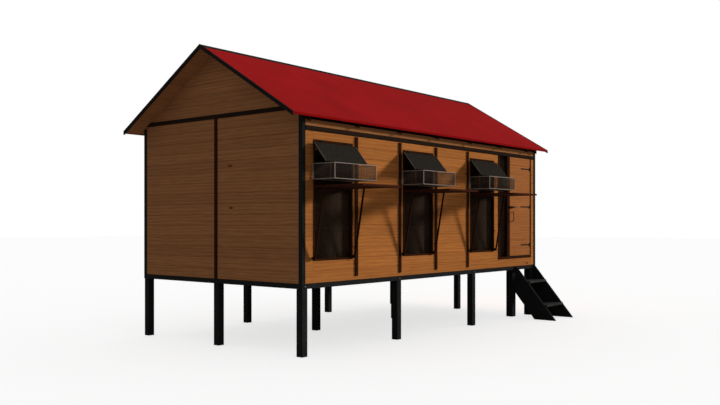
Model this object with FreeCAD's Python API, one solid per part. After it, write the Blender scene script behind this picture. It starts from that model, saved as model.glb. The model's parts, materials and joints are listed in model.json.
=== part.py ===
"""Raised walk-in chicken house on posts, with three feed-and-egg baskets in its front wall.

Working frame, in millimetres: X runs along the front wall from its left corner, Y runs from the
front wall's face into the house, and Z runs up from the ground. Everything is moved to the
part's own origin, the bottom centre of its box, as it is exported.
"""
import FreeCAD, Part
import math
import os

# ---------------------------------------------------------------- driving sizes: the house
LENGTH = 6000.0              # front wall, corner to corner
WIDTH = 3100.0               # gable wall, corner to corner
LEG_HEIGHT = 816.0           # ground to underside of the floor frame
LEG_SIZE = 95.0
LEG_COLUMN_2_SHIFT = -43.0   # the second and third columns stand off an even spacing
LEG_COLUMN_3_SHIFT = -16.0
LEG_END_INSET = 60.0         # last column of legs from the right corner
STAIR_LEG_SIZE = 120.0       # the two legs beside the stairs are heavier
STAIR_LEG_SETBACK = 103.5
STAIR_LEG_FROM_RIGHT = 512.5

BEAM_HEIGHT = 60.0           # floor frame
BEAM_WIDTH = 72.0
BEAM_PROUD = 6.0             # floor beam, posts and frames stand this far out of the boards
JOIST_WIDTH = 45.0
JOIST_PITCH = 600.0
FLOOR_BOARD_THICKNESS = 20.0
FLOOR_BOARD_PITCH = 148.0

BOARD_THICKNESS = 20.0       # wall boards
BOARD_PITCH = 142.0
BOARD_GAP = 1.5
BOARD_CHAMFER = 4.0
CORNER_POST = 60.0
STUD = 45.0
STUD_PITCH = 990.0
BATTEN_WIDTH = 55.0
BATTEN_THICKNESS = 12.0
BATTEN_FROM_OPENING = 46.0
BATTEN_FOOT = 50.0           # boards left bare below a batten

FRONT_WALL_TOP = 2730.0      # underside of the top beam
TOP_BEAM_HEIGHT = 55.0
TOP_BEAM_PROUD = 10.0
TIE_BEAM_BOTTOM = 2983.0
TIE_BEAM_HEIGHT = 52.0

# ---------------------------------------------------------------- driving sizes: the roof
EAVE_Z = 2915.0              # top of the roof sheet at its lower edge
EAVE_OVERHANG = 98.0
RIDGE_Z = 3913.0
GABLE_OVERHANG = 262.0
ROOF_SHEET = 4.0
ROOF_BOARD_THICKNESS = 18.0
ROOF_BOARDS_PER_SLOPE = 12
RAFTER_WIDTH = 45.0
RAFTER_DEPTH = 70.0
RAFTER_PITCH = 920.0
RAFTER_TAIL = 62.0
RIDGE_BEAM_WIDTH = 40.0
RIDGE_BEAM_DEPTH = 130.0
BARGE_THICKNESS = 20.0
BARGE_DEPTH = 42.0
BARGE_RISE = 5.0
FASCIA_THICKNESS = 12.0
FASCIA_DEPTH = 26.0
RIDGE_CAP_WIDTH = 70.0
RIDGE_CAP_THICKNESS = 2.5

# ---------------------------------------------------------------- driving sizes: the windows
MODULES = 3
FIRST_OPENING_X = 200.0
LAST_OPENING_FROM_DOOR_UNIT = 135.0
MIDDLE_OPENING_SHIFT = 34.0
OPENING_WIDTH = 745.0
SILL_Z = 1149.0
TRANSOM_Z = 2030.0           # underside of the rail that carries the flap
TRANSOM_HEIGHT = 100.0
HEAD_Z = 2585.0              # underside of the rail that carries the lid
HEAD_HEIGHT = 40.0
FRAME_BAR = 25.0
FRAME_DEPTH = 45.0           # how far a frame reaches behind the face of the boards
NETTING = 2.0

FLAP_DEPTH = 745.0
FLAP_THICKNESS = 25.0
FLAP_AXIS_Z = 2036.0
FLAP_CLEARANCE = 8.0         # panel's inner edge from the hinge line
STRAP_LENGTH = 300.0
STRAP_WIDTH = 40.0
PROP_WIDTH = 24.0
PROP_THICKNESS = 14.0
PROP_REACH = 170.0           # pivot from the flap's hinge line
PROP_SIDE_GAP = 3.0
PROP_FOOT_Y = -26.0
PROP_FOOT_RISE = 12.0
PROP_PIN_RADIUS = 5.0
PROP_PIN_DEPTH = 30.0
CLIP_THICKNESS = 3.0
CLIP_HEIGHT = 40.0
CLIP_GAP = 1.5

LID_AXIS_Z = 2597.0
LID_REACH = 222.0            # lower edge, out from the wall
LID_BOTTOM_Z = 2347.0
LID_THICKNESS = 4.0
LID_HEM = 14.0               # edge turned down along the two sides
BASKET_SIDE = 25.0           # how far a basket and its lid pass the opening on each side
BASKET_DEPTH = 360.0
BASKET_BOTTOM = 2137.0
BASKET_HEIGHT = 196.0
BASKET_BAR = 9.0
BASKET_NETTING = 1.5

NEST_DEPTH = 420.0
NEST_HEIGHT = 320.0
NEST_BOARD = 18.0
NEST_LIP = 100.0
PERCH_COUNT = 3
PERCH_SIZE = 45.0
PERCH_SPACING = 320.0
PERCH_CHAMFER = 12.0
PERCH_HEIGHT = 1500.0
PERCH_FRAMES = 4
PERCH_RAIL = 45.0

# ---------------------------------------------------------------- driving sizes: the door
DOOR_UNIT_FROM_RIGHT = 1307.0    # left edge of the door unit from the right corner
SIDE_PANEL_WIDTH = 252.0
SURROUND_BAR = 45.0
MULLION_WIDTH = 85.0
DOOR_WIDTH = 710.0
DOOR_GAP = 5.0
DOOR_SILL_Z = 1010.0
DOOR_SILL_HEIGHT = 40.0
DOOR_STILE = 70.0
DOOR_STILE_THICKNESS = 25.0
DOOR_RAILS = 3
DOOR_STRAP_LENGTH = 330.0
DOOR_HINGES = 3
DOOR_HINGE_INSET = 180.0
PULL_HEIGHT = 1720.0
PULL_LENGTH = 160.0
PULL_RADIUS = 6.0
PULL_STAND = 40.0
PULL_FROM_EDGE = 60.0
BOLT_HEIGHT = 1880.0
BOLT_RADIUS = 6.0
BOLT_LENGTH = 150.0
BOLT_REST_GAP = 15.0
BOLT_GUIDE = 15.0
KEEP_SETBACK = 10.0
KNOB_RADIUS = 9.0
KNOB_LENGTH = 22.0

# ---------------------------------------------------------------- driving sizes: the stairs
STAIR_WIDTH = 695.0
STAIR_FROM_RIGHT = 40.0
STRINGER_THICKNESS = 40.0
STRINGER_TOE = 740.0         # front of the foot, out from the wall
STRINGER_FOOT = 378.0        # length of the foot on the ground
STRINGER_SLOPE = 50.5        # degrees
TREADS = 2
FIRST_TREAD = 250.0
TREAD_RISE = 380.0
TREAD_THICKNESS = 35.0
TREAD_DEPTH = 250.0
TREAD_NOSING = 38.0
CLEAT = 30.0

# ---------------------------------------------------------------- driving sizes: hardware
KNUCKLE_RADIUS = 7.0
PIN_RADIUS = 4.0
RUNNING_CLEARANCE = 0.1
LEAF_THICKNESS = 3.0
HINGE_LENGTH = 60.0
HINGE_END_GAP = 0.5
HINGE_LEAF = 34.0
HINGE_INSET = 140.0          # centre of an outer hinge from the side of a lid or flap
COACH_BOLT_RADIUS = 12.0
COACH_BOLT_HEAD = 6.0

# ---------------------------------------------------------------- worked-out places
TAN_SLOPE = (RIDGE_Z - EAVE_Z) / (WIDTH / 2 + EAVE_OVERHANG)
COS_SLOPE = 1 / math.hypot(1, TAN_SLOPE)
FLOOR_FRAME_TOP = LEG_HEIGHT + BEAM_HEIGHT
FLOOR_TOP = FLOOR_FRAME_TOP + FLOOR_BOARD_THICKNESS
POST_INNER = CORNER_POST - BEAM_PROUD
BEAM_INNER = BEAM_WIDTH - BEAM_PROUD
FLOOR_EDGE = max(BEAM_INNER, BOARD_THICKNESS + STUD)
FRONT_BEAM_TOP = FRONT_WALL_TOP + TOP_BEAM_HEIGHT
ROOF_UNDERSIDE = ROOF_SHEET + ROOF_BOARD_THICKNESS
RAFTER_UNDERSIDE = ROOF_UNDERSIDE + RAFTER_DEPTH
FRAME_FACE = -BEAM_PROUD
AXIS_Y = FRAME_FACE - KNUCKLE_RADIUS
OPENING_TOP = HEAD_Z + HEAD_HEIGHT
DOOR_UNIT_X = LENGTH - DOOR_UNIT_FROM_RIGHT
MULLION_X = DOOR_UNIT_X + SURROUND_BAR + SIDE_PANEL_WIDTH
DOOR_X = MULLION_X + MULLION_WIDTH + DOOR_GAP
DOOR_END = DOOR_X + DOOR_WIDTH
JAMB_X = DOOR_END + DOOR_GAP
DOOR_UNIT_END = JAMB_X + SURROUND_BAR
DOOR_BOTTOM = DOOR_SILL_Z + DOOR_SILL_HEIGHT + DOOR_GAP
DOOR_TOP = FRONT_WALL_TOP - DOOR_GAP
DOOR_AXIS_X = DOOR_END + DOOR_GAP / 2
STAIR_X = LENGTH - STAIR_FROM_RIGHT - STAIR_WIDTH
STAIR_LEG_X = LENGTH - STAIR_LEG_FROM_RIGHT - STAIR_LEG_SIZE
FLAP_BOTTOM = FLAP_AXIS_Z + KNUCKLE_RADIUS
FRONT_REACH = max(STRINGER_TOE, -AXIS_Y + FLAP_CLEARANCE + FLAP_DEPTH)
BACK_REACH = WIDTH + EAVE_OVERHANG + FASCIA_THICKNESS
ORIGIN = FreeCAD.Vector(LENGTH / 2, (BACK_REACH - FRONT_REACH) / 2, 0)


# ---------------------------------------------------------------- shapes
def block(x0, x1, y0, y1, z0, z1):
    """A square-edged block between two corners."""
    return Part.makeBox(x1 - x0, y1 - y0, z1 - z0, FreeCAD.Vector(x0, y0, z0))


def prism_x(outline, x0, x1):
    """Extrude a closed (y, z) outline along X."""
    points = [FreeCAD.Vector(x0, y, z) for y, z in outline]
    face = Part.Face(Part.makePolygon(points + points[:1]))
    return face.extrude(FreeCAD.Vector(x1 - x0, 0, 0))


def prism_y(outline, y0, y1):
    """Extrude a closed (x, z) outline along Y."""
    points = [FreeCAD.Vector(x, y0, z) for x, z in outline]
    face = Part.Face(Part.makePolygon(points + points[:1]))
    return face.extrude(FreeCAD.Vector(0, y1 - y0, 0))


def rod(start, direction, length, radius):
    """A round bar from a point along a direction."""
    return Part.makeCylinder(radius, length, FreeCAD.Vector(*start), FreeCAD.Vector(*direction))


def mirrored_y(shape):
    """The same piece on the back half of the house."""
    return shape.mirror(FreeCAD.Vector(0, WIDTH / 2, 0), FreeCAD.Vector(0, 1, 0))


def mirrored_x(shape):
    """The same piece at the other gable."""
    return shape.mirror(FreeCAD.Vector(LENGTH / 2, 0, 0), FreeCAD.Vector(1, 0, 0))


def rows(bottom, top, pitch):
    """Bottom and top of each board in a stack that fills a height evenly."""
    count = max(1, round((top - bottom) / pitch))
    step = (top - bottom) / count
    edges = [bottom + step * index for index in range(count + 1)]
    return [(low + BOARD_GAP / 2, high - BOARD_GAP / 2) for low, high in zip(edges, edges[1:])]


def spread(first, last, pitch):
    """Evenly spaced places from first to last, about a pitch apart."""
    count = max(1, math.ceil((last - first) / pitch))
    return [first + (last - first) * index / count for index in range(count + 1)]


def board_x(x0, x1, z0, z1, face=0.0, thickness=BOARD_THICKNESS):
    """A board along X whose two outer edges are chamfered; its face looks to the front."""
    cut = min(BOARD_CHAMFER, (z1 - z0) / 4)
    outline = [(face, z0 + cut), (face + cut, z0), (face + thickness, z0),
               (face + thickness, z1), (face + cut, z1), (face, z1 - cut)]
    return prism_x(outline, x0, x1)


def board_y(y0, y1, z0, z1):
    """A board along Y in the left gable wall, chamfered the same way."""
    cut = min(BOARD_CHAMFER, (z1 - z0) / 4)
    outline = [(0, z0 + cut), (cut, z0), (BOARD_THICKNESS, z0),
               (BOARD_THICKNESS, z1), (cut, z1), (0, z1 - cut)]
    return prism_y(outline, y0, y1)


def roof_z(y, depth):
    """Height of the plane lying a given depth under the roof's front slope, at y."""
    return EAVE_Z + (y + EAVE_OVERHANG) * TAN_SLOPE - depth / COS_SLOPE


def roof_y(z, depth):
    """Where that plane reaches a height."""
    return (z - EAVE_Z + depth / COS_SLOPE) / TAN_SLOPE - EAVE_OVERHANG


def roof_slab(y0, y1, depth0, depth1, x0, x1):
    """A slab of the front slope between two depths, with plumb ends."""
    outline = [(y0, roof_z(y0, depth0)), (y1, roof_z(y1, depth0)),
               (y1, roof_z(y1, depth1)), (y0, roof_z(y0, depth1))]
    return prism_x(outline, x0, x1)


def both_slopes(slabs):
    """Slabs of the front slope and their twins on the back slope."""
    return slabs + [mirrored_y(slab) for slab in slabs]


# ---------------------------------------------------------------- places of repeated pieces
def leg_columns():
    """Left faces of the four columns of legs."""
    last = LENGTH - LEG_SIZE - LEG_END_INSET
    return [0.0, last / 3 + LEG_COLUMN_2_SHIFT, last * 2 / 3 + LEG_COLUMN_3_SHIFT, last]


def opening_xs():
    """Left edge of each window opening."""
    last = DOOR_UNIT_X - LAST_OPENING_FROM_DOOR_UNIT - OPENING_WIDTH
    step = (last - FIRST_OPENING_X) / (MODULES - 1)
    places = [FIRST_OPENING_X + step * index for index in range(MODULES)]
    return places[:1] + [x + MIDDLE_OPENING_SHIFT for x in places[1:-1]] + places[-1:]


def front_battens():
    """Left edge of each batten beside the openings; the ends of the row have none."""
    left = [x - BATTEN_FROM_OPENING - BATTEN_WIDTH for x in opening_xs()[1:]]
    right = [x + OPENING_WIDTH + BATTEN_FROM_OPENING for x in opening_xs()[:-1]]
    return sorted(left + right)


def front_cuts():
    """What is cut out of the front wall's boards, as (x0, x1, z0, z1)."""
    cuts = [(x, x + OPENING_WIDTH, SILL_Z, OPENING_TOP) for x in opening_xs()]
    return cuts + [(DOOR_UNIT_X, DOOR_UNIT_END, DOOR_SILL_Z, FRONT_WALL_TOP)]


def hinge_centres(start, end):
    """Two hinges along a lid or flap."""
    return [start + HINGE_INSET, end - HINGE_INSET]


def door_hinge_heights():
    """Centre of each door hinge."""
    return spread(DOOR_BOTTOM + DOOR_HINGE_INSET, DOOR_TOP - DOOR_HINGE_INSET,
                  (DOOR_TOP - DOOR_BOTTOM - 2 * DOOR_HINGE_INSET) / (DOOR_HINGES - 1))


def perch_frames():
    """Left face of each frame under the perches."""
    return spread(STUD_PITCH / 4, LENGTH - STUD_PITCH / 4 - PERCH_RAIL,
                  (LENGTH - STUD_PITCH / 2) / (PERCH_FRAMES - 1))


# ---------------------------------------------------------------- legs and floor
def legs():
    """Twelve legs in three rows, the front right one heavier, and one more behind the stairs."""
    lines = [0.0, (WIDTH - LEG_SIZE) / 2, WIDTH - LEG_SIZE]
    columns = leg_columns()
    feet = [(x, y, LEG_SIZE) for x in columns for y in lines if (x, y) != (columns[-1], 0.0)]
    feet.append((columns[-1] + LEG_SIZE - STAIR_LEG_SIZE, 0.0, STAIR_LEG_SIZE))
    feet.append((STAIR_LEG_X, STAIR_LEG_SETBACK, STAIR_LEG_SIZE))
    return [block(x, x + size, y, y + size, 0, LEG_HEIGHT) for x, y, size in feet]


def perimeter_beams():
    """The floor frame: front, back, two ends and one down the middle."""
    ends = (-BEAM_PROUD, LENGTH + BEAM_PROUD)
    middle = (WIDTH - BEAM_WIDTH) / 2
    front = block(*ends, -BEAM_PROUD, BEAM_INNER, LEG_HEIGHT, FLOOR_FRAME_TOP)
    left = block(-BEAM_PROUD, BEAM_INNER, BEAM_INNER, WIDTH - BEAM_INNER, LEG_HEIGHT,
                 FLOOR_FRAME_TOP)
    centre = block(BEAM_INNER, LENGTH - BEAM_INNER, middle, middle + BEAM_WIDTH, LEG_HEIGHT,
                   FLOOR_FRAME_TOP)
    return [front, mirrored_y(front), left, mirrored_x(left), centre]


def floor_joists():
    """Joists from the front beam to the middle one and on to the back, one over the stair leg."""
    middle = (WIDTH - BEAM_WIDTH) / 2
    starts = spread(BEAM_INNER, LENGTH - BEAM_INNER - JOIST_WIDTH, JOIST_PITCH)
    over_leg = STAIR_LEG_X + (STAIR_LEG_SIZE - JOIST_WIDTH) / 2
    clear = [x for x in starts if abs(x - over_leg) > JOIST_WIDTH]
    front = [block(x, x + JOIST_WIDTH, BEAM_INNER, middle, LEG_HEIGHT, FLOOR_FRAME_TOP)
             for x in clear + [over_leg]]
    return front + [mirrored_y(joist) for joist in front]


def floor_boards():
    """Floor boards laid along the house."""
    count = round((WIDTH - 2 * FLOOR_EDGE) / FLOOR_BOARD_PITCH)
    step = (WIDTH - 2 * FLOOR_EDGE) / count
    starts = [FLOOR_EDGE + step * index for index in range(count)]
    return [block(FLOOR_EDGE, LENGTH - FLOOR_EDGE, y + BOARD_GAP / 2, y + step - BOARD_GAP / 2,
                  FLOOR_FRAME_TOP, FLOOR_TOP) for y in starts]


# ---------------------------------------------------------------- walls
def corner_posts():
    """Four corner posts, cut off square under the roof boards."""
    top = roof_z(-BEAM_PROUD, ROOF_UNDERSIDE)
    post = block(-BEAM_PROUD, POST_INNER, -BEAM_PROUD, POST_INNER, FLOOR_FRAME_TOP, top)
    pair = [post, mirrored_x(post)]
    return pair + [mirrored_y(each) for each in pair]


def wall_studs():
    """Studs beside each opening in the front wall, and evenly along the back and the ends."""
    edges = [(x0 - STUD, x1) for x0, x1, _, _ in front_cuts()]
    front_xs = sorted(x for pair in edges for x in pair)
    back_xs = spread(STUD_PITCH, LENGTH - STUD_PITCH - STUD, STUD_PITCH)
    y0, y1 = BOARD_THICKNESS, BOARD_THICKNESS + STUD
    front = [block(x, x + STUD, y0, y1, FLOOR_FRAME_TOP, FRONT_WALL_TOP) for x in front_xs]
    back = [mirrored_y(block(x, x + STUD, y0, y1, FLOOR_FRAME_TOP, FRONT_WALL_TOP))
            for x in back_xs]
    middle = (WIDTH - STUD) / 2
    end = block(y0, y1, middle, middle + STUD, FLOOR_FRAME_TOP, TIE_BEAM_BOTTOM)
    return front + back + [end, mirrored_x(end)]


def cut_row(z0, z1, x0, x1):
    """One row of the front wall, left out at the openings and trimmed above and below them."""
    pieces = []
    cursor = x0
    for cut_x0, cut_x1, cut_z0, cut_z1 in front_cuts():
        if cut_z0 >= z1 or cut_z1 <= z0:
            continue
        pieces.append((cursor, cut_x0, z0, z1))
        if cut_z0 - z0 > BOARD_CHAMFER:
            pieces.append((cut_x0, cut_x1, z0, cut_z0))
        if z1 - cut_z1 > BOARD_CHAMFER:
            pieces.append((cut_x0, cut_x1, cut_z1, z1))
        cursor = cut_x1
    pieces.append((cursor, x1, z0, z1))
    return [board_x(*piece) for piece in pieces]


def front_wall_boards():
    """Horizontal boards around the three windows and the door unit."""
    stack = rows(FLOOR_FRAME_TOP, FRONT_WALL_TOP, BOARD_PITCH)
    return [board for z0, z1 in stack for board in cut_row(z0, z1, POST_INNER, LENGTH - POST_INNER)]


def back_wall_boards():
    """Plain boarded back wall."""
    stack = rows(FLOOR_FRAME_TOP, FRONT_WALL_TOP, BOARD_PITCH)
    return [mirrored_y(board_x(POST_INNER, LENGTH - POST_INNER, z0, z1)) for z0, z1 in stack]


def left_wall_boards():
    """Gable wall boards up to the tie beam, short of the roof boards at the top."""
    boards = []
    for z0, z1 in rows(FLOOR_FRAME_TOP, TIE_BEAM_BOTTOM, BOARD_PITCH):
        y0 = max(POST_INNER, roof_y(z1, ROOF_UNDERSIDE))
        boards.append(board_y(y0, WIDTH - y0, z0, z1))
    return boards


def left_gable_boards():
    """Boards of the gable's triangle, their ends following the roof."""
    boards = []
    for z0, z1 in rows(TIE_BEAM_BOTTOM + TIE_BEAM_HEIGHT, roof_z(WIDTH / 2, ROOF_UNDERSIDE),
                       BOARD_PITCH):
        low = roof_y(z0, ROOF_UNDERSIDE)
        high = roof_y(z1, ROOF_UNDERSIDE)
        outline = [(low, z0), (WIDTH - low, z0)]
        if WIDTH - 2 * high > BOARD_PITCH:
            outline += [(WIDTH - high, z1), (high, z1)]
        else:
            outline += [(WIDTH / 2, roof_z(WIDTH / 2, ROOF_UNDERSIDE))]
        boards.append(prism_x(outline, 0, BOARD_THICKNESS))
    return boards


def wall_battens():
    """Upright battens on the front wall, the middle of each gable and, evenly, the back."""
    z0, z1 = FLOOR_FRAME_TOP + BATTEN_FOOT, FRONT_WALL_TOP - BATTEN_THICKNESS
    front = [block(x, x + BATTEN_WIDTH, -BATTEN_THICKNESS, 0, z0, z1) for x in front_battens()]
    back_xs = spread(STUD_PITCH, LENGTH - STUD_PITCH - STUD, STUD_PITCH)
    shift = (STUD - BATTEN_WIDTH) / 2
    back = [mirrored_y(block(x + shift, x + shift + BATTEN_WIDTH, -BATTEN_THICKNESS, 0, z0, z1))
            for x in back_xs]
    middle = (WIDTH - BATTEN_WIDTH) / 2
    gable = block(-BATTEN_THICKNESS, 0, middle, middle + BATTEN_WIDTH, FLOOR_FRAME_TOP,
                  TIE_BEAM_BOTTOM)
    return front + back + [gable, mirrored_x(gable)]


def top_beams():
    """The dark beam along the top of the long walls, and the plate behind it for the rafters."""
    y1 = BOARD_THICKNESS + STUD
    beam = block(POST_INNER, LENGTH - POST_INNER, -TOP_BEAM_PROUD, BOARD_THICKNESS,
                 FRONT_WALL_TOP, FRONT_BEAM_TOP)
    outline = [(BOARD_THICKNESS, FRONT_WALL_TOP), (y1, FRONT_WALL_TOP),
               (y1, roof_z(y1, RAFTER_UNDERSIDE)),
               (BOARD_THICKNESS, roof_z(BOARD_THICKNESS, RAFTER_UNDERSIDE))]
    plate = prism_x(outline, POST_INNER, LENGTH - POST_INNER)
    return both_slopes([beam, plate])


def frieze_boards():
    """The board between the top beam and the rafters, in the shade of the eave."""
    top = roof_z(0, RAFTER_UNDERSIDE)
    return both_slopes([board_x(POST_INNER, LENGTH - POST_INNER, FRONT_BEAM_TOP, top)])


def gable_tie_beams():
    """Beam across each gable, its ends cut to the roof."""
    z1 = TIE_BEAM_BOTTOM + TIE_BEAM_HEIGHT
    low = max(POST_INNER, roof_y(TIE_BEAM_BOTTOM, ROOF_UNDERSIDE))
    high = roof_y(z1, ROOF_UNDERSIDE)
    outline = [(low, TIE_BEAM_BOTTOM), (WIDTH - low, TIE_BEAM_BOTTOM), (WIDTH - high, z1),
               (high, z1)]
    beam = prism_x(outline, -TOP_BEAM_PROUD, BOARD_THICKNESS)
    return [beam, mirrored_x(beam)]


# ---------------------------------------------------------------- roof
def rafters():
    """Pairs of rafters from the ridge beam to the tails under the eaves."""
    first = POST_INNER
    last = LENGTH - POST_INNER - RAFTER_WIDTH
    count = math.floor((last - first - RAFTER_WIDTH) / RAFTER_PITCH)
    starts = [first + RAFTER_PITCH * index for index in range(count + 1)] + [last]
    ridge_side = (WIDTH - RIDGE_BEAM_WIDTH) / 2
    front = [roof_slab(-RAFTER_TAIL, ridge_side, ROOF_UNDERSIDE, RAFTER_UNDERSIDE, x,
                       x + RAFTER_WIDTH) for x in starts]
    return both_slopes(front)


def ridge_beam():
    """The beam that the rafters meet, its top bevelled to both slopes."""
    y0, y1 = (WIDTH - RIDGE_BEAM_WIDTH) / 2, (WIDTH + RIDGE_BEAM_WIDTH) / 2
    shoulder = roof_z(y0, ROOF_UNDERSIDE)
    bottom = roof_z(WIDTH / 2, ROOF_UNDERSIDE) - RIDGE_BEAM_DEPTH
    outline = [(y0, bottom), (y1, bottom), (y1, shoulder),
               (WIDTH / 2, roof_z(WIDTH / 2, ROOF_UNDERSIDE)), (y0, shoulder)]
    return [prism_x(outline, BOARD_THICKNESS, LENGTH - BOARD_THICKNESS)]


def roof_boards():
    """Boards laid along the house on the rafters, running out past the gables."""
    step = (WIDTH / 2 + EAVE_OVERHANG) / ROOF_BOARDS_PER_SLOPE
    starts = [step * index - EAVE_OVERHANG for index in range(ROOF_BOARDS_PER_SLOPE)]
    front = [roof_slab(y, y + step - BOARD_GAP, ROOF_SHEET, ROOF_UNDERSIDE, -GABLE_OVERHANG,
                       LENGTH + GABLE_OVERHANG) for y in starts]
    return both_slopes(front)


def roof_sheet():
    """The front slope's sheet."""
    return roof_slab(-EAVE_OVERHANG, WIDTH / 2, 0, ROOF_SHEET, -GABLE_OVERHANG,
                     LENGTH + GABLE_OVERHANG)


def ridge_cap():
    """Two folded halves of the capping that lie on the sheets along the ridge."""
    half = roof_slab(WIDTH / 2 - RIDGE_CAP_WIDTH, WIDTH / 2, -RIDGE_CAP_THICKNESS, 0,
                     -GABLE_OVERHANG, LENGTH + GABLE_OVERHANG)
    return both_slopes([half])


def barge_boards():
    """Edge boards up both slopes at both gables."""
    x0 = -GABLE_OVERHANG - BARGE_THICKNESS
    front = roof_slab(-EAVE_OVERHANG - FASCIA_THICKNESS, WIDTH / 2, -BARGE_RISE, BARGE_DEPTH, x0,
                      -GABLE_OVERHANG)
    return both_slopes([front, mirrored_x(front)])


def eave_fascias():
    """Thin board closing the ends of the roof boards along each eave."""
    front = roof_slab(-EAVE_OVERHANG - FASCIA_THICKNESS, -EAVE_OVERHANG, 0, FASCIA_DEPTH,
                      -GABLE_OVERHANG, LENGTH + GABLE_OVERHANG)
    return both_slopes([front])


# ---------------------------------------------------------------- windows, baskets and nests
def window_frames():
    """Frame of each opening: two sides, sill, the rail for the flap and the rail for the lid."""
    bars = []
    for x in opening_xs():
        end = x + OPENING_WIDTH
        depth = (FRAME_FACE, FRAME_DEPTH)
        for x0 in (x, end - FRAME_BAR):
            bars.append(block(x0, x0 + FRAME_BAR, *depth, SILL_Z, OPENING_TOP))
        inner = (x + FRAME_BAR, end - FRAME_BAR)
        bars.append(block(*inner, *depth, SILL_Z, SILL_Z + FRAME_BAR))
        bars.append(block(*inner, *depth, TRANSOM_Z, TRANSOM_Z + TRANSOM_HEIGHT))
        bars.append(block(*inner, *depth, HEAD_Z, OPENING_TOP))
    return bars


def window_netting():
    """Netting behind each lower opening, as a thin closed sheet."""
    inset = FRAME_BAR / 2
    return [block(x + inset, x + OPENING_WIDTH - inset, FRAME_DEPTH, FRAME_DEPTH + NETTING,
                  SILL_Z + inset, TRANSOM_Z + TRANSOM_HEIGHT / 2) for x in opening_xs()]


def basket_spans():
    """Left and right end of each basket."""
    return [(x - BASKET_SIDE, x + OPENING_WIDTH + BASKET_SIDE) for x in opening_xs()]


def basket_frames():
    """Bars of each basket: four posts, the rim and the bottom frame."""
    bars = []
    b = BASKET_BAR
    y0, y1 = FRAME_FACE - BASKET_DEPTH, FRAME_FACE
    z0, z1 = BASKET_BOTTOM, BASKET_BOTTOM + BASKET_HEIGHT
    for x, x1 in basket_spans():
        bars += [block(px, px + b, py, py + b, z0, z1) for px in (x, x1 - b)
                 for py in (y0, y1 - b)]
        for z in (z0, z1 - b):
            bars += [block(px, px + b, y0 + b, y1 - b, z, z + b) for px in (x, x1 - b)]
            bars.append(block(x + b, x1 - b, y0, y0 + b, z, z + b))
        bars.append(block(x + b, x1 - b, y1 - b, y1, z0, z0 + b))
    return bars


def basket_netting():
    """Front, two sides and floor of each basket, as thin closed sheets inside its bars."""
    sheets = []
    b, t = BASKET_BAR, BASKET_NETTING
    y0, y1 = FRAME_FACE - BASKET_DEPTH + b, FRAME_FACE
    z0, z1 = BASKET_BOTTOM + b, BASKET_BOTTOM + BASKET_HEIGHT
    for start, end in basket_spans():
        x0, x1 = start + b, end - b
        sheets.append(block(x0, x1, y0, y0 + t, z0, z1))
        sheets += [block(px, px + t, y0 + t, y1, z0, z1) for px in (x0, x1 - t)]
        sheets.append(block(x0 + t, x1 - t, y0 + t, y1, z0, z0 + t))
    return sheets


def nest_boxes():
    """A pair of nests inside, behind each basket: floor, top, sides, divider and lip."""
    boards = []
    t = NEST_BOARD
    y0, y1 = FRAME_DEPTH, FRAME_DEPTH + NEST_DEPTH
    z0 = TRANSOM_Z + TRANSOM_HEIGHT
    z1 = z0 + NEST_HEIGHT
    for x in opening_xs():
        end = x + OPENING_WIDTH
        middle = (x + end - t) / 2
        boards.append(block(x, end, y0 + NETTING, y1, z0 - t, z0))
        boards.append(block(x, end, y0, y1, z1, z1 + t))
        boards += [block(px, px + t, y0, y1, z0, z1) for px in (x, middle, end - t)]
        boards += [block(px + t, px + (OPENING_WIDTH - t) / 2, y1 - t, y1, z0, z0 + NEST_LIP)
                   for px in (x, middle)]
    return boards


def roost_perches():
    """Square perches with eased edges along the back of the house."""
    bars = []
    for index in range(PERCH_COUNT):
        y = WIDTH - FLOOR_EDGE - PERCH_SPACING * (index + 1)
        c, s = PERCH_CHAMFER, PERCH_SIZE
        z = PERCH_HEIGHT
        outline = [(y, z), (y + s, z), (y + s, z + s - c), (y + s - c, z + s), (y + c, z + s),
                   (y, z + s - c)]
        bars.append(prism_x(outline, FLOOR_EDGE, LENGTH - FLOOR_EDGE))
    return bars


def perch_supports():
    """A rail and a foot under the perches at each frame."""
    parts = []
    front = WIDTH - FLOOR_EDGE - PERCH_SPACING * PERCH_COUNT - PERCH_RAIL
    for x in perch_frames():
        x1 = x + PERCH_RAIL
        parts.append(block(x, x1, front, WIDTH - FLOOR_EDGE, PERCH_HEIGHT - PERCH_RAIL,
                           PERCH_HEIGHT))
        for y in (front, WIDTH - FLOOR_EDGE - PERCH_RAIL):
            parts.append(block(x, x1, y, y + PERCH_RAIL, FLOOR_TOP, PERCH_HEIGHT - PERCH_RAIL))
    return parts


# ---------------------------------------------------------------- hinges
def fixed_leaf(centre, axis, leaf_way, face_way, length=HINGE_LENGTH, leaf=HINGE_LEAF):
    """Leaf on the frame with its two end knuckles and the pin between them, as one forging."""
    parts = []
    knuckle = length / 3 - HINGE_END_GAP
    start = centre - axis * (length / 2)
    for offset in (0, length - knuckle):
        base = start + axis * offset
        parts.append(Part.makeCylinder(KNUCKLE_RADIUS, knuckle, base, axis))
        parts.append(plate(base, axis, knuckle, leaf_way, leaf, face_way))
    parts.append(Part.makeCylinder(PIN_RADIUS, length, start, axis))
    spine = start + leaf_way * (KNUCKLE_RADIUS + 2 * HINGE_END_GAP)
    parts.append(plate(spine, axis, length, leaf_way, leaf - KNUCKLE_RADIUS - 2 * HINGE_END_GAP,
                       face_way))
    return parts[0].multiFuse(parts[1:]).removeSplitter()


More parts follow.
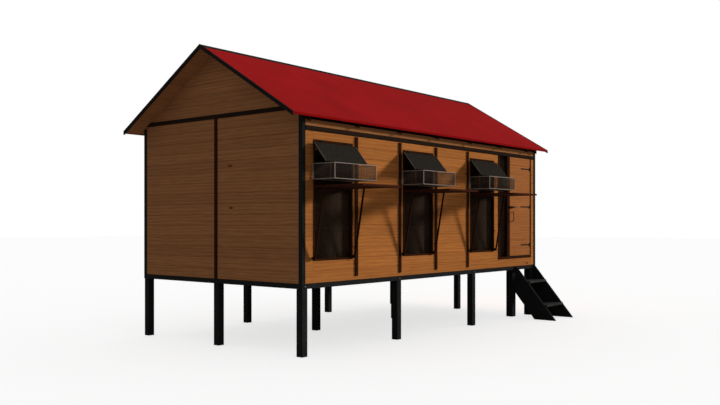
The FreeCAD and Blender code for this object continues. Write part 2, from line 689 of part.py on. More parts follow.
def moving_leaf(centre, axis, leaf_way, face_way, length=HINGE_LENGTH, leaf=HINGE_LEAF):
    """The middle knuckle with its leaf or strap, bored to run on the pin."""
    knuckle = length / 3 - HINGE_END_GAP
    base = centre - axis * (knuckle / 2)
    body = Part.makeCylinder(KNUCKLE_RADIUS, knuckle, base, axis)
    leaf_shape = plate(base, axis, knuckle, leaf_way, leaf, face_way)
    bore = Part.makeCylinder(PIN_RADIUS + RUNNING_CLEARANCE, knuckle, base, axis)
    return body.fuse(leaf_shape).cut(bore).removeSplitter()


def plate(base, axis, along, leaf_way, reach, face_way):
    """A flat leaf that leaves the hinge line and lies against the face it is screwed to."""
    near = base + face_way * (KNUCKLE_RADIUS - LEAF_THICKNESS)
    corners = [near, near + axis * along, near + axis * along + leaf_way * reach,
               near + leaf_way * reach]
    face = Part.Face(Part.makePolygon(corners + corners[:1]))
    return face.extrude(face_way * LEAF_THICKNESS)


ALONG_X = FreeCAD.Vector(1, 0, 0)
UP = FreeCAD.Vector(0, 0, 1)
INWARD = FreeCAD.Vector(0, 1, 0)
OUTWARD = FreeCAD.Vector(0, -1, 0)


def lid_ways():
    """Unit vector down the lid from its hinge, and the one square to it on its underside."""
    run = LID_REACH + AXIS_Y
    drop = LID_AXIS_Z - LID_BOTTOM_Z
    size = math.hypot(run, drop)
    down = FreeCAD.Vector(0, -run / size, -drop / size)
    under = FreeCAD.Vector(0, drop / size, -run / size)
    return down, under, size


def lid_hinge_plates():
    """The leaves on the head rail, two to a lid."""
    return [fixed_leaf(FreeCAD.Vector(x, AXIS_Y, LID_AXIS_Z), ALONG_X, UP, INWARD, leaf=HEAD_HEIGHT
                       - LID_AXIS_Z + HEAD_Z)
            for start in opening_xs() for x in hinge_centres(start, start + OPENING_WIDTH)]


def lid(start):
    """A steel sheet with hemmed sides and two rolled knuckles, closed over its basket."""
    down, under, length = lid_ways()
    x0 = start - BASKET_SIDE + HINGE_END_GAP
    x1 = start + OPENING_WIDTH + BASKET_SIDE - HINGE_END_GAP
    top = down * (KNUCKLE_RADIUS + FLAP_CLEARANCE) - under * KNUCKLE_RADIUS
    origin = FreeCAD.Vector(x0, AXIS_Y, LID_AXIS_Z)
    reach = length - KNUCKLE_RADIUS - FLAP_CLEARANCE
    corners = [origin + top, origin + top + down * reach]
    corners += [corners[1] + ALONG_X * (x1 - x0), corners[0] + ALONG_X * (x1 - x0)]
    skin = Part.Face(Part.makePolygon(corners + corners[:1])).extrude(under * LID_THICKNESS)
    parts = [skin]
    for side in (0, x1 - x0 - LID_THICKNESS):
        base = corners[0] + ALONG_X * side + under * LID_THICKNESS
        edge = [base, base + down * reach, base + down * reach + under * LID_HEM,
                base + under * LID_HEM]
        parts.append(Part.Face(Part.makePolygon(edge + edge[:1])).extrude(ALONG_X * LID_THICKNESS))
    for x in hinge_centres(start, start + OPENING_WIDTH):
        centre = FreeCAD.Vector(x, AXIS_Y, LID_AXIS_Z)
        parts.append(moving_leaf(centre, ALONG_X, down, -under, leaf=2 * HINGE_LEAF))
    return parts[0].multiFuse(parts[1:]).removeSplitter()


def flap_hinge_plates():
    """The leaves on the transom, two to a flap."""
    return [fixed_leaf(FreeCAD.Vector(x, AXIS_Y, FLAP_AXIS_Z), ALONG_X, UP, INWARD,
                       length=3 * STRAP_WIDTH)
            for start in opening_xs() for x in hinge_centres(start, start + OPENING_WIDTH)]


def flap_straps(start):
    """The two straps under a flap, each with its knuckle."""
    return [moving_leaf(FreeCAD.Vector(x, AXIS_Y, FLAP_AXIS_Z), ALONG_X, OUTWARD, UP,
                        length=3 * STRAP_WIDTH, leaf=STRAP_LENGTH)
            for x in hinge_centres(start, start + OPENING_WIDTH)]


def flap(start):
    """A flap's panel, level when propped open, with a hole in each side for a prop's pin."""
    y1 = AXIS_Y - FLAP_CLEARANCE
    panel = block(start, start + OPENING_WIDTH, y1 - FLAP_DEPTH, y1, FLAP_BOTTOM,
                  FLAP_BOTTOM + FLAP_THICKNESS)
    radius = PROP_PIN_RADIUS + RUNNING_CLEARANCE
    for x in (start, start + OPENING_WIDTH - PROP_PIN_DEPTH):
        y, z = prop_pivot()
        panel = panel.cut(rod((x, y, z), (1, 0, 0), PROP_PIN_DEPTH, radius))
    return panel


def prop_pivot():
    """Where a prop's pin goes into the flap's side, as (y, z)."""
    return AXIS_Y - PROP_REACH, FLAP_BOTTOM + FLAP_THICKNESS / 2


def prop_foot():
    """Where a prop's foot stands in its clip, as (y, z)."""
    return PROP_FOOT_Y, SILL_Z + PROP_FOOT_RISE


def props(start):
    """The two props of a flap, each with a round eye and a pin into the panel."""
    (y0, z0), (y1, z1) = prop_pivot(), prop_foot()
    length = math.hypot(y1 - y0, z1 - z0)
    side = FreeCAD.Vector(0, (z0 - z1) / length, (y1 - y0) / length) * (PROP_WIDTH / 2)
    parts = []
    for x0, pin_x in ((start - PROP_SIDE_GAP - PROP_THICKNESS, start - PROP_SIDE_GAP),
                      (start + OPENING_WIDTH + PROP_SIDE_GAP,
                       start + OPENING_WIDTH - PROP_PIN_DEPTH + HINGE_END_GAP)):
        top, foot = FreeCAD.Vector(x0, y0, z0), FreeCAD.Vector(x0, y1, z1)
        corners = [top - side, foot - side, foot + side, top + side]
        bar = Part.Face(Part.makePolygon(corners + corners[:1])).extrude(ALONG_X * PROP_THICKNESS)
        eye = rod((x0, y0, z0), (1, 0, 0), PROP_THICKNESS, PROP_WIDTH / 2)
        pin_length = PROP_PIN_DEPTH + PROP_SIDE_GAP - HINGE_END_GAP
        pin = rod((pin_x, y0, z0), (1, 0, 0), pin_length, PROP_PIN_RADIUS)
        parts.append(bar.multiFuse([eye, pin]).removeSplitter())
    return parts


def prop_clips():
    """Spring clips on the wall that hold the feet of the props: a back and two cheeks."""
    parts = []
    y_front = PROP_FOOT_Y - PROP_WIDTH / 2
    z0 = SILL_Z + PROP_FOOT_RISE
    for start in opening_xs():
        for x0 in (start - PROP_SIDE_GAP - PROP_THICKNESS,
                   start + OPENING_WIDTH + PROP_SIDE_GAP):
            x1 = x0 + PROP_THICKNESS
            left, right = x0 - CLIP_GAP - CLIP_THICKNESS, x1 + CLIP_GAP
            outer_back = FRAME_FACE
            clip = block(left, right + CLIP_THICKNESS, outer_back - CLIP_THICKNESS, outer_back,
                         z0, z0 + CLIP_HEIGHT)
            cheeks = [block(x, x + CLIP_THICKNESS, y_front, outer_back, z0, z0 + CLIP_HEIGHT)
                      for x in (left, right)]
            pad_x0, pad_x1 = ((left, start) if x0 < start
                              else (start + OPENING_WIDTH, right + CLIP_THICKNESS))
            pad = block(pad_x0, pad_x1, outer_back, 0, z0, z0 + CLIP_HEIGHT)
            parts.append(clip.multiFuse(cheeks + [pad]).removeSplitter())
    return parts


# ---------------------------------------------------------------- door
def door_surround():
    """Fixed frame of the door unit: post, mullion, jamb and sill."""
    depth = (FRAME_FACE, FRAME_DEPTH)
    z0 = DOOR_SILL_Z + DOOR_SILL_HEIGHT
    uprights = [(DOOR_UNIT_X, SURROUND_BAR), (MULLION_X, MULLION_WIDTH), (JAMB_X, SURROUND_BAR)]
    bars = [block(x, x + width, *depth, z0, FRONT_WALL_TOP) for x, width in uprights]
    return bars + [block(DOOR_UNIT_X, DOOR_UNIT_END, *depth, DOOR_SILL_Z, z0)]


def side_panel_netting():
    """Netting of the narrow panel beside the door, as a thin closed sheet."""
    inset = SURROUND_BAR / 2
    return [block(DOOR_UNIT_X + inset, MULLION_X + inset, FRAME_DEPTH, FRAME_DEPTH + NETTING,
                  DOOR_SILL_Z + inset, FRONT_WALL_TOP)]


def door_boards():
    """The door's face of horizontal boards."""
    return [board_x(DOOR_X, DOOR_END, z0, z1, face=FRAME_FACE)
            for z0, z1 in rows(DOOR_BOTTOM, DOOR_TOP, BOARD_PITCH)]


def door_ledges():
    """Two stiles and the rails behind the boards."""
    y0 = FRAME_FACE + BOARD_THICKNESS
    y1 = y0 + DOOR_STILE_THICKNESS
    stiles = [block(x, x + DOOR_STILE, y0, y1, DOOR_BOTTOM, DOOR_TOP)
              for x in (DOOR_X, DOOR_END - DOOR_STILE)]
    heights = spread(DOOR_BOTTOM, DOOR_TOP - DOOR_STILE,
                     (DOOR_TOP - DOOR_STILE - DOOR_BOTTOM) / (DOOR_RAILS - 1))
    rails = [block(DOOR_X + DOOR_STILE, DOOR_END - DOOR_STILE, y0, y1, z, z + DOOR_STILE)
             for z in heights]
    return stiles + rails


def door_hinge_plates():
    """Leaves and pins on the jamb."""
    return [fixed_leaf(FreeCAD.Vector(DOOR_AXIS_X, AXIS_Y, z), UP, ALONG_X, INWARD)
            for z in door_hinge_heights()]


def door_straps():
    """Straps on the face of the door, each with its knuckle."""
    return [moving_leaf(FreeCAD.Vector(DOOR_AXIS_X, AXIS_Y, z), UP, -ALONG_X, INWARD,
                        leaf=DOOR_STRAP_LENGTH) for z in door_hinge_heights()]


def door_pull():
    """A round grip on two stand-offs."""
    x = DOOR_X + PULL_FROM_EDGE
    y = FRAME_FACE - PULL_STAND
    grip = rod((x, y, PULL_HEIGHT - PULL_LENGTH / 2), (0, 0, 1), PULL_LENGTH, PULL_RADIUS)
    ends = [rod((x, y, PULL_HEIGHT + way * (PULL_LENGTH / 2 - PULL_RADIUS)), (0, 1, 0), PULL_STAND,
                PULL_RADIUS - RUNNING_CLEARANCE) for way in (-1, 1)]
    return [grip.multiFuse(ends).removeSplitter()]


def bolt_line():
    """The door bolt's tip at rest, and the distance of its centre line from the wall."""
    return DOOR_X + BOLT_REST_GAP, FRAME_FACE - BOLT_GUIDE


def bored_guide(x0):
    """A block on the face of the door or mullion with the bolt's hole through it."""
    _, y = bolt_line()
    reach = BOLT_GUIDE - RUNNING_CLEARANCE
    guide = block(x0, x0 + BOLT_GUIDE, y - reach, FRAME_FACE, BOLT_HEIGHT - reach,
                  BOLT_HEIGHT + reach)
    return guide.cut(rod((x0, y, BOLT_HEIGHT), (1, 0, 0), BOLT_GUIDE,
                         BOLT_RADIUS + RUNNING_CLEARANCE))


def bolt_guides():
    """Two guides on the door."""
    tip, _ = bolt_line()
    return [bored_guide(tip + KEEP_SETBACK), bored_guide(tip + BOLT_LENGTH / 2)]


def bolt_keep():
    """The keep on the mullion."""
    return [bored_guide(MULLION_X + MULLION_WIDTH - KEEP_SETBACK - BOLT_GUIDE)]


def door_bolt():
    """A round bolt, drawn back at rest, with a knob standing out of its tail."""
    tip, y = bolt_line()
    bolt = rod((tip, y, BOLT_HEIGHT), (1, 0, 0), BOLT_LENGTH, BOLT_RADIUS)
    neck = rod((tip + BOLT_LENGTH - KNOB_RADIUS, y, BOLT_HEIGHT), (0, -1, 0), KNOB_LENGTH,
               KNOB_RADIUS / 2)
    knob = rod((tip + BOLT_LENGTH - KNOB_RADIUS, y - KNOB_LENGTH, BOLT_HEIGHT), (0, -1, 0),
               KNOB_LENGTH / 2, KNOB_RADIUS)
    return [bolt.multiFuse([neck, knob]).removeSplitter()]


# ---------------------------------------------------------------- stairs
def stringer_edge(z):
    """Where the stringer's upper edge is at a height."""
    return z / math.tan(math.radians(STRINGER_SLOPE)) - STRINGER_TOE


def stringer_xs():
    """Left face of each stringer."""
    return [STAIR_X, STAIR_X + STAIR_WIDTH - STRINGER_THICKNESS]


def stair_stringers():
    """Two raking boards, cut level at the ground and at the floor, and plumb at the beam."""
    rise = math.tan(math.radians(STRINGER_SLOPE))
    heel = STRINGER_FOOT - STRINGER_TOE
    top = (FRAME_FACE + STRINGER_TOE) * rise
    head = [(FRAME_FACE, top)]
    if top > FLOOR_FRAME_TOP:
        head = [(FRAME_FACE, FLOOR_FRAME_TOP), (stringer_edge(FLOOR_FRAME_TOP), FLOOR_FRAME_TOP)]
    outline = [(-STRINGER_TOE, 0), (heel, 0), (FRAME_FACE, (FRAME_FACE - heel) * rise)] + head
    return [prism_x(outline, x, x + STRINGER_THICKNESS) for x in stringer_xs()]


def tread_places():
    """Top height and front edge of each tread."""
    heights = [FIRST_TREAD + TREAD_RISE * index for index in range(TREADS)]
    return [(z, stringer_edge(z) - TREAD_NOSING) for z in heights]


def stair_treads():
    """Treads between the stringers."""
    x0, x1 = STAIR_X + STRINGER_THICKNESS, STAIR_X + STAIR_WIDTH - STRINGER_THICKNESS
    return [block(x0, x1, y, min(y + TREAD_DEPTH, FRAME_FACE), z - TREAD_THICKNESS, z)
            for z, y in tread_places()]


def stair_cleats():
    """A cleat under each end of each tread."""
    left, right = stringer_xs()
    cleats = []
    for z, y in tread_places():
        for x in (left + STRINGER_THICKNESS, right - CLEAT):
            cleats.append(block(x, x + CLEAT, y + 2 * TREAD_NOSING, y + TREAD_DEPTH - TREAD_NOSING,
                                z - TREAD_THICKNESS - CLEAT, z - TREAD_THICKNESS))
    return cleats


def coach_bolts():
    """Bolt heads where the long beams are fixed to the legs."""
    z = LEG_HEIGHT + BEAM_HEIGHT / 2
    front = [rod((x + LEG_SIZE / 2, -BEAM_PROUD, z), (0, -1, 0), COACH_BOLT_HEAD, COACH_BOLT_RADIUS)
             for x in leg_columns() if not STAIR_X - LEG_SIZE < x < LENGTH - LEG_SIZE]
    back = [rod((x + LEG_SIZE / 2, WIDTH + BEAM_PROUD, z), (0, 1, 0), COACH_BOLT_HEAD,
                COACH_BOLT_RADIUS) for x in leg_columns()]
    return front + back


# ---------------------------------------------------------------- the whole house
def nodes():
    """Every node's name with its list of solids."""
    left_wall, left_gable = left_wall_boards(), left_gable_boards()
    sheet = roof_sheet()
    model = {
        "legs": legs(),
        "floor_beams": perimeter_beams(),
        "floor_joists": floor_joists(),
        "floor_boards": floor_boards(),
        "corner_posts": corner_posts(),
        "wall_studs": wall_studs(),
        "front_wall_boards": front_wall_boards(),
        "back_wall_boards": back_wall_boards(),
        "left_wall_boards": left_wall,
        "right_wall_boards": [mirrored_x(board) for board in left_wall],
        "left_gable_boards": left_gable,
        "right_gable_boards": [mirrored_x(board) for board in left_gable],
        "wall_battens": wall_battens(),
        "top_beams": top_beams(),
        "frieze_boards": frieze_boards(),
        "gable_tie_beams": gable_tie_beams(),
        "rafters": rafters(),
        "ridge_beam": ridge_beam(),
        "roof_boards": roof_boards(),
        "roof_sheet_front": [sheet],
        "roof_sheet_back": [mirrored_y(sheet)],
        "ridge_cap": ridge_cap(),
        "barge_boards": barge_boards(),
        "eave_fascias": eave_fascias(),
        "window_frames": window_frames(),
        "window_netting": window_netting(),
        "basket_frames": basket_frames(),
        "basket_netting": basket_netting(),
        "nest_boxes": nest_boxes(),
        "roost_perches": roost_perches(),
        "perch_supports": perch_supports(),
        "lid_hinge_plates": lid_hinge_plates(),
        "flap_hinge_plates": flap_hinge_plates(),
        "prop_clips": prop_clips(),
        "door_surround": door_surround(),
        "side_panel_netting": side_panel_netting(),
        "door_hinge_plates": door_hinge_plates(),
        "bolt_keep": bolt_keep(),
        "door_boards": door_boards(),
        "door_ledges": door_ledges(),
        "door_straps": door_straps(),
        "door_pull": door_pull(),
        "bolt_guides": bolt_guides(),
        "door_bolt": door_bolt(),
        "stair_stringers": stair_stringers(),
        "stair_treads": stair_treads(),
        "stair_cleats": stair_cleats(),
        "coach_bolts": coach_bolts(),
    }
    for number, start in enumerate(opening_xs(), 1):
        model[f"lid_{number}"] = [lid(start)]
        model[f"flap_{number}"] = [flap(start)]
        model[f"flap_straps_{number}"] = flap_straps(start)
        model[f"props_{number}"] = props(start)
    return model


def main():
    """Write one STEP file for each node."""
    os.makedirs("parts", exist_ok=True)
    for name, solids in nodes().items():
        shape = solids[0] if len(solids) == 1 else Part.makeCompound(solids)
        shape = shape.translated(-ORIGIN)
        shape.exportStep(f"parts/{name}.step")
        print(f"{name}: {len(shape.Solids)} solids, {shape.Volume / 1e9:.4f} m3")


if __name__ == "__main__":
    main()
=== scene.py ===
"""Dresses the raised chicken house: eased timbers, wire netting, felt roof, nails and screws."""
import json
import logging
import math
from dataclasses import dataclass
from enum import Enum
from typing import Any, Iterable, Optional

import bmesh
import bpy
from mathutils import Matrix, Vector

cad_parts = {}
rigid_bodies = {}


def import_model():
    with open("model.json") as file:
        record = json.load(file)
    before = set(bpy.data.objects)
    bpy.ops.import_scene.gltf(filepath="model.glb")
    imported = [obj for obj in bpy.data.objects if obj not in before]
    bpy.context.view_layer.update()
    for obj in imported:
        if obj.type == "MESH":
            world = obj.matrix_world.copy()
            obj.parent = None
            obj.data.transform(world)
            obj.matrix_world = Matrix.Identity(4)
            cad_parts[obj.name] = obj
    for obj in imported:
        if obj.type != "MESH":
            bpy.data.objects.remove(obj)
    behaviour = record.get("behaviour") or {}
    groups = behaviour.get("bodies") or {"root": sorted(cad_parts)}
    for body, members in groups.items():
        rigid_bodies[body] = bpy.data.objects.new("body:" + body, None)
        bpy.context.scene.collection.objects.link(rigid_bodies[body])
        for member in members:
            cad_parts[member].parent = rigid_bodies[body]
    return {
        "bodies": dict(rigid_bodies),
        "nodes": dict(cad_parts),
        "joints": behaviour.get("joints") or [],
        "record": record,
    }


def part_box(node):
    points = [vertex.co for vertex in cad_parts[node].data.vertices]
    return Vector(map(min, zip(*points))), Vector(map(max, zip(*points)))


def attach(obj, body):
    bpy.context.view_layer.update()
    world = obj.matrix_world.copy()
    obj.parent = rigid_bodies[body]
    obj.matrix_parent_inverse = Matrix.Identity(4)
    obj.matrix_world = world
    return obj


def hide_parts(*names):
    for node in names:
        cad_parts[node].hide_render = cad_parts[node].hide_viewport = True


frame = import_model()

LOG = logging.getLogger("chicken_house")
MM = 0.001
GRAIN_UV = "grain"
SEED = "seed"
PART = "part"
COPLANAR = math.radians(1.0)
SHARP = math.radians(25.0)
WELD = 1e-5
FACING = 0.95                   # cosine above which a face counts as looking one way
WAVE_REPEAT = 2 * math.pi / 20  # a wave texture of scale 1 repeats after this many metres
UP = Vector((0.0, 0.0, 1.0))
DOWN = -UP


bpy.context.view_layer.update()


# ---------------------------------------------------------------- colours and nodes
def linear(code: str) -> tuple[float, float, float, float]:
    """Turn an sRGB hex colour into linear RGBA.

    Args:
        code: Six hex digits after a hash.

    Returns:
        The four linear channels.
    """
    values = [int(code[start:start + 2], 16) / 255 for start in (1, 3, 5)]
    low = 0.04045
    channels = [v / 12.92 if v <= low else ((v + 0.055) / 1.055) ** 2.4 for v in values]
    return (*channels, 1.0)


def add_node(tree: bpy.types.NodeTree, kind: str, inputs: Optional[dict[Any, Any]] = None,
             **settings: Any) -> bpy.types.Node:
    """Add one node with its settings, constants and links.

    Args:
        tree: Tree that gets the node.
        kind: The node's type name.
        inputs: Socket name or index to a constant, or to the socket that feeds it.
        **settings: The node's own properties.

    Returns:
        The new node.
    """
    node = tree.nodes.new(kind)
    for name, value in settings.items():
        setattr(node, name, value)
    for key, value in (inputs or {}).items():
        if isinstance(value, bpy.types.NodeSocket):
            tree.links.new(value, node.inputs[key])
        else:
            node.inputs[key].default_value = value
    return node


def new_material(name: str) -> tuple[bpy.types.Material, bpy.types.NodeTree]:
    """Make an empty node material.

    Args:
        name: The material's name.

    Returns:
        The material and its cleared node tree.
    """
    material = bpy.data.materials.new(name)
    material.use_nodes = True
    material.node_tree.nodes.clear()
    return material, material.node_tree


def finish_shader(tree: bpy.types.NodeTree, color: Any, roughness: Any, height: Any,
                  relief_mm: float, **sockets: Any) -> None:
    """Close a material with a Principled shader whose normal comes from a height.

    Args:
        tree: Tree to close.
        color: Colour socket or RGBA constant.
        roughness: Roughness socket or constant.
        height: Height socket for the relief.
        relief_mm: Depth of the relief in millimetres.
        **sockets: More Principled inputs, with underscores for spaces.
    """
    bump = add_node(tree, "ShaderNodeBump", {"Height": height, "Distance": relief_mm * MM,
                                             "Strength": 1.0})
    values = {name.replace("_", " "): value for name, value in sockets.items()}
    values.update({"Base Color": color, "Roughness": roughness, "Normal": bump.outputs["Normal"]})
    shader = add_node(tree, "ShaderNodeBsdfPrincipled", values)
    add_node(tree, "ShaderNodeOutputMaterial", {"Surface": shader.outputs["BSDF"]})


# ---------------------------------------------------------------- finishes
@dataclass(frozen=True)
class StainedTimber:
    """Sawn softwood with a stain or oil: bands of growth rings, fine fibre and a few knots.

    The eye sees darker late wood, each board in its own tone and a soft sheen on the face.
    """

    name: str
    light: str
    dark: str
    knot: str
    ring_mm: float = 46.0          # drawn coarser than real rings, so that they show
    fibre_mm: float = 9.0
    knot_gap_mm: float = 520.0
    knot_share: float = 0.16
    tone_spread: float = 0.09
    roughness: float = 0.85
    relief_mm: float = 0.35

    def material(self) -> bpy.types.Material:
        """Build the material from the grain map and each board's seed.

        Returns:
            The new material.
        """
        material, tree = new_material(self.name)
        uv = add_node(tree, "ShaderNodeUVMap", uv_map=GRAIN_UV)
        seed = add_node(tree, "ShaderNodeAttribute", attribute_name=SEED)
        shift = add_node(tree, "ShaderNodeCombineXYZ", {"Z": seed.outputs["Fac"]})
        far = add_node(tree, "ShaderNodeVectorMath", {0: shift.outputs["Vector"],
                                                      1: (1.0, 1.0, 61.0)}, operation="MULTIPLY")
        place = add_node(tree, "ShaderNodeVectorMath", {0: uv.outputs["UV"],
                                                        1: far.outputs["Vector"]})
        flow = add_node(tree, "ShaderNodeMapping", {"Vector": place.outputs["Vector"],
                                                    "Scale": (0.16, 1.0, 1.0)})
        sway = add_node(tree, "ShaderNodeTexNoise", {"Vector": flow.outputs["Vector"],
                                                     "Scale": 9.0, "Detail": 3.0,
                                                     "Roughness": 0.55})
        ring_scale = WAVE_REPEAT / (self.ring_mm * MM)
        rings = add_node(tree, "ShaderNodeTexWave",
                         {"Vector": flow.outputs["Vector"], "Scale": ring_scale,
                          "Distortion": 7.0, "Detail": 3.0, "Detail Scale": 0.45,
                          "Detail Roughness": 0.55},
                         bands_direction="Y")
        stretch = add_node(tree, "ShaderNodeMapping",
                           {"Vector": place.outputs["Vector"], "Scale": (0.03, 1.0, 1.0)})
        fibre = add_node(tree, "ShaderNodeTexNoise",
                         {"Vector": stretch.outputs["Vector"], "Detail": 4.0,
                          "Scale": 1 / (self.fibre_mm * MM), "Roughness": 0.62})
        cells = add_node(tree, "ShaderNodeMapping",
                         {"Vector": place.outputs["Vector"],
                          "Scale": (1 / (self.knot_gap_mm * MM), 5.5, 1.0)})
        knots = add_node(tree, "ShaderNodeTexVoronoi", {"Vector": cells.outputs["Vector"],
                                                        "Scale": 1.0}, voronoi_dimensions="2D")
        chosen = add_node(tree, "ShaderNodeMath", {0: knots.outputs["Color"],
                                                   1: self.knot_share}, operation="LESS_THAN")
        spot = add_node(tree, "ShaderNodeMapRange",
                        {"Value": knots.outputs["Distance"], "From Min": 0.03, "From Max": 0.12,
                         "To Min": 1.0, "To Max": 0.0})
        knot = add_node(tree, "ShaderNodeMath", {0: spot.outputs["Result"],
                                                 1: chosen.outputs["Value"]},
                        operation="MULTIPLY")
        figure = add_node(tree, "ShaderNodeMath", {0: rings.outputs["Fac"],
                                                   1: sway.outputs["Fac"]}, operation="MULTIPLY")
        soft = add_node(tree, "ShaderNodeMath", {0: figure.outputs["Value"], 1: 0.3},
                        operation="MULTIPLY")
        streak = add_node(tree, "ShaderNodeMath", {0: fibre.outputs["Fac"], 1: 0.9,
                                                   2: soft.outputs["Value"]},
                          operation="MULTIPLY_ADD")
        depth = add_node(tree, "ShaderNodeMapRange",
                         {"Value": streak.outputs["Value"], "From Min": 0.28, "From Max": 0.78})
        wood = add_node(tree, "ShaderNodeMix",
                        {"Factor": depth.outputs["Result"], 6: linear(self.light),
                         7: linear(self.dark)}, data_type="RGBA")
        spotted = add_node(tree, "ShaderNodeMix", {"Factor": knot.outputs["Value"],
                                                   6: wood.outputs[2], 7: linear(self.knot)},
                           data_type="RGBA")
        tone = add_node(tree, "ShaderNodeMapRange",
                        {"Value": seed.outputs["Fac"], "To Min": 1 - self.tone_spread,
                         "To Max": 1 + self.tone_spread})
        toned = add_node(tree, "ShaderNodeVectorMath", {0: spotted.outputs[2],
                                                        "Scale": tone.outputs["Result"]},
                         operation="SCALE")
        rough = add_node(tree, "ShaderNodeMapRange",
                         {"Value": fibre.outputs["Fac"], "To Min": self.roughness - 0.1,
                          "To Max": self.roughness + 0.12})
        finish_shader(tree, toned.outputs["Vector"], rough.outputs["Result"],
                      streak.outputs["Value"], self.relief_mm, Specular_IOR_Level=0.04)
        return material


@dataclass(frozen=True)
class PaintedTimber:
    """Black barn paint on sawn posts: the fibre shows through as relief, slightly uneven gloss."""

    name: str
    color: str
    worn: str
    fibre_mm: float = 4.0
    roughness: float = 0.75
    relief_mm: float = 0.6

    def material(self) -> bpy.types.Material:
        """Build the material from the grain map.

        Returns:
            The new material.
        """
        material, tree = new_material(self.name)
        uv = add_node(tree, "ShaderNodeUVMap", uv_map=GRAIN_UV)
        stretch = add_node(tree, "ShaderNodeMapping", {"Vector": uv.outputs["UV"],
                                                       "Scale": (0.05, 1.0, 1.0)})
        fibre = add_node(tree, "ShaderNodeTexNoise",
                         {"Vector": stretch.outputs["Vector"], "Detail": 4.0,
                          "Scale": 1 / (self.fibre_mm * MM)})
        patches = add_node(tree, "ShaderNodeTexNoise", {"Vector": uv.outputs["UV"],
                                                        "Scale": 7.0, "Detail": 4.0})
        both = add_node(tree, "ShaderNodeMath", {0: fibre.outputs["Fac"],
                                                 1: patches.outputs["Fac"]},
                        operation="MULTIPLY")
        wear = add_node(tree, "ShaderNodeMapRange", {"Value": both.outputs["Value"],
                                                     "From Min": 0.2, "From Max": 0.45})
        color = add_node(tree, "ShaderNodeMix", {"Factor": wear.outputs["Result"],
                                                 6: linear(self.color), 7: linear(self.worn)},
                         data_type="RGBA")
        rough = add_node(tree, "ShaderNodeMapRange",
                         {"Value": patches.outputs["Fac"], "To Min": self.roughness - 0.12,
                          "To Max": self.roughness + 0.15})
        finish_shader(tree, color.outputs[2], rough.outputs["Result"], fibre.outputs["Fac"],
                      self.relief_mm, Specular_IOR_Level=0.05)
        return material


@dataclass(frozen=True)
class MineralFelt:
    """Roofing felt faced with coloured grit: matt, finely speckled, faintly mottled by weather."""

    name: str
    color: str
    shade: str
    grit: str
    grit_mm: float = 9.0           # real grit is about 1 mm; drawn coarser, so that it shows
    mottle_mm: float = 700.0
    relief_mm: float = 0.8

    def material(self) -> bpy.types.Material:
        """Build the material from Object coordinates.

        Returns:
            The new material.
        """
        material, tree = new_material(self.name)
        place = add_node(tree, "ShaderNodeTexCoord").outputs["Object"]
        grit = add_node(tree, "ShaderNodeTexNoise", {"Vector": place, "Detail": 2.0,
                                                     "Scale": 1 / (self.grit_mm * MM)})
        mottle = add_node(tree, "ShaderNodeTexNoise", {"Vector": place, "Detail": 5.0,
                                                       "Scale": 1 / (self.mottle_mm * MM)})
        patch = add_node(tree, "ShaderNodeMapRange", {"Value": mottle.outputs["Fac"],
                                                      "From Min": 0.35, "From Max": 0.7})
        ground = add_node(tree, "ShaderNodeMix", {"Factor": patch.outputs["Result"],
                                                  6: linear(self.color), 7: linear(self.shade)},
                          data_type="RGBA")
        grain = add_node(tree, "ShaderNodeMapRange", {"Value": grit.outputs["Fac"],
                                                      "From Min": 0.5, "From Max": 0.75,
                                                      "To Max": 0.6})
        color = add_node(tree, "ShaderNodeMix", {"Factor": grain.outputs["Result"],
                                                 6: ground.outputs[2], 7: linear(self.grit)},
                         data_type="RGBA")
        finish_shader(tree, color.outputs[2], 0.95, grit.outputs["Fac"], self.relief_mm,
                      Specular_IOR_Level=0.05)
        return material


@dataclass(frozen=True)
class CoatedMetal:
    """Painted, galvanised or plated steel, told apart by its metallic value, gloss and spots."""

    name: str
    color: str
    spot: str
    metallic: float
    roughness: float
    spot_mm: float
    specular: float = 0.5
    relief_mm: float = 0.05

    def material(self) -> bpy.types.Material:
        """Build the material from Object coordinates.

        Returns:
            The new material.
        """
        material, tree = new_material(self.name)
        place = add_node(tree, "ShaderNodeTexCoord").outputs["Object"]
        spots = add_node(tree, "ShaderNodeTexNoise", {"Vector": place, "Detail": 3.0,
                                                      "Scale": 1 / (self.spot_mm * MM)})
        share = add_node(tree, "ShaderNodeMapRange", {"Value": spots.outputs["Fac"],
                                                      "From Min": 0.4, "From Max": 0.68})
        color = add_node(tree, "ShaderNodeMix", {"Factor": share.outputs["Result"],
                                                 6: linear(self.color), 7: linear(self.spot)},
                         data_type="RGBA")
        rough = add_node(tree, "ShaderNodeMapRange",
                         {"Value": spots.outputs["Fac"], "To Min": self.roughness - 0.08,
                          "To Max": self.roughness + 0.1})
        finish_shader(tree, color.outputs[2], rough.outputs["Result"], spots.outputs["Fac"],
                      self.relief_mm, Metallic=self.metallic,
                      Specular_IOR_Level=self.specular)
        return material


Finish = StainedTimber | PaintedTimber | MineralFelt | CoatedMetal

# Larch boards under a clear brown oil: warm lit faces, brown figure, soft sheen.
WALL_STAIN = StainedTimber("oiled larch wall boards", "#b37038", "#8c5429", "#4c2812")
# The same boards in a greyer colour: painted shade, the cooler tint of the light in the gables'
# shade.
SHADE_TINTED_GABLE_STAIN = StainedTimber("oiled larch gable boards", "#ae754a", "#865937", "#4d2e1a")
# Door boards picked without knots, all of one tone.
DOOR_STAIN = StainedTimber("oiled larch door boards", "#a8683a", "#83502a", "#4c2a15",
                           tone_spread=0.05, knot_share=0.06)
# Frieze boards lighter and greyer than the wall boards: painted fill light, the bounced light that
# reaches them in the eave's shade.
FRIEZE_STAIN_WITH_PAINTED_FILL = StainedTimber("oiled larch frieze boards", "#b5794a", "#8f5c35", "#4a2914")
# Battens, beams and frames with a dense walnut stain that hides most of the figure.
DARK_STAIN = StainedTimber("walnut stained trim timber", "#381d0e", "#241209", "#150b06",
                           knot_share=0.08, tone_spread=0.08, roughness=0.8)
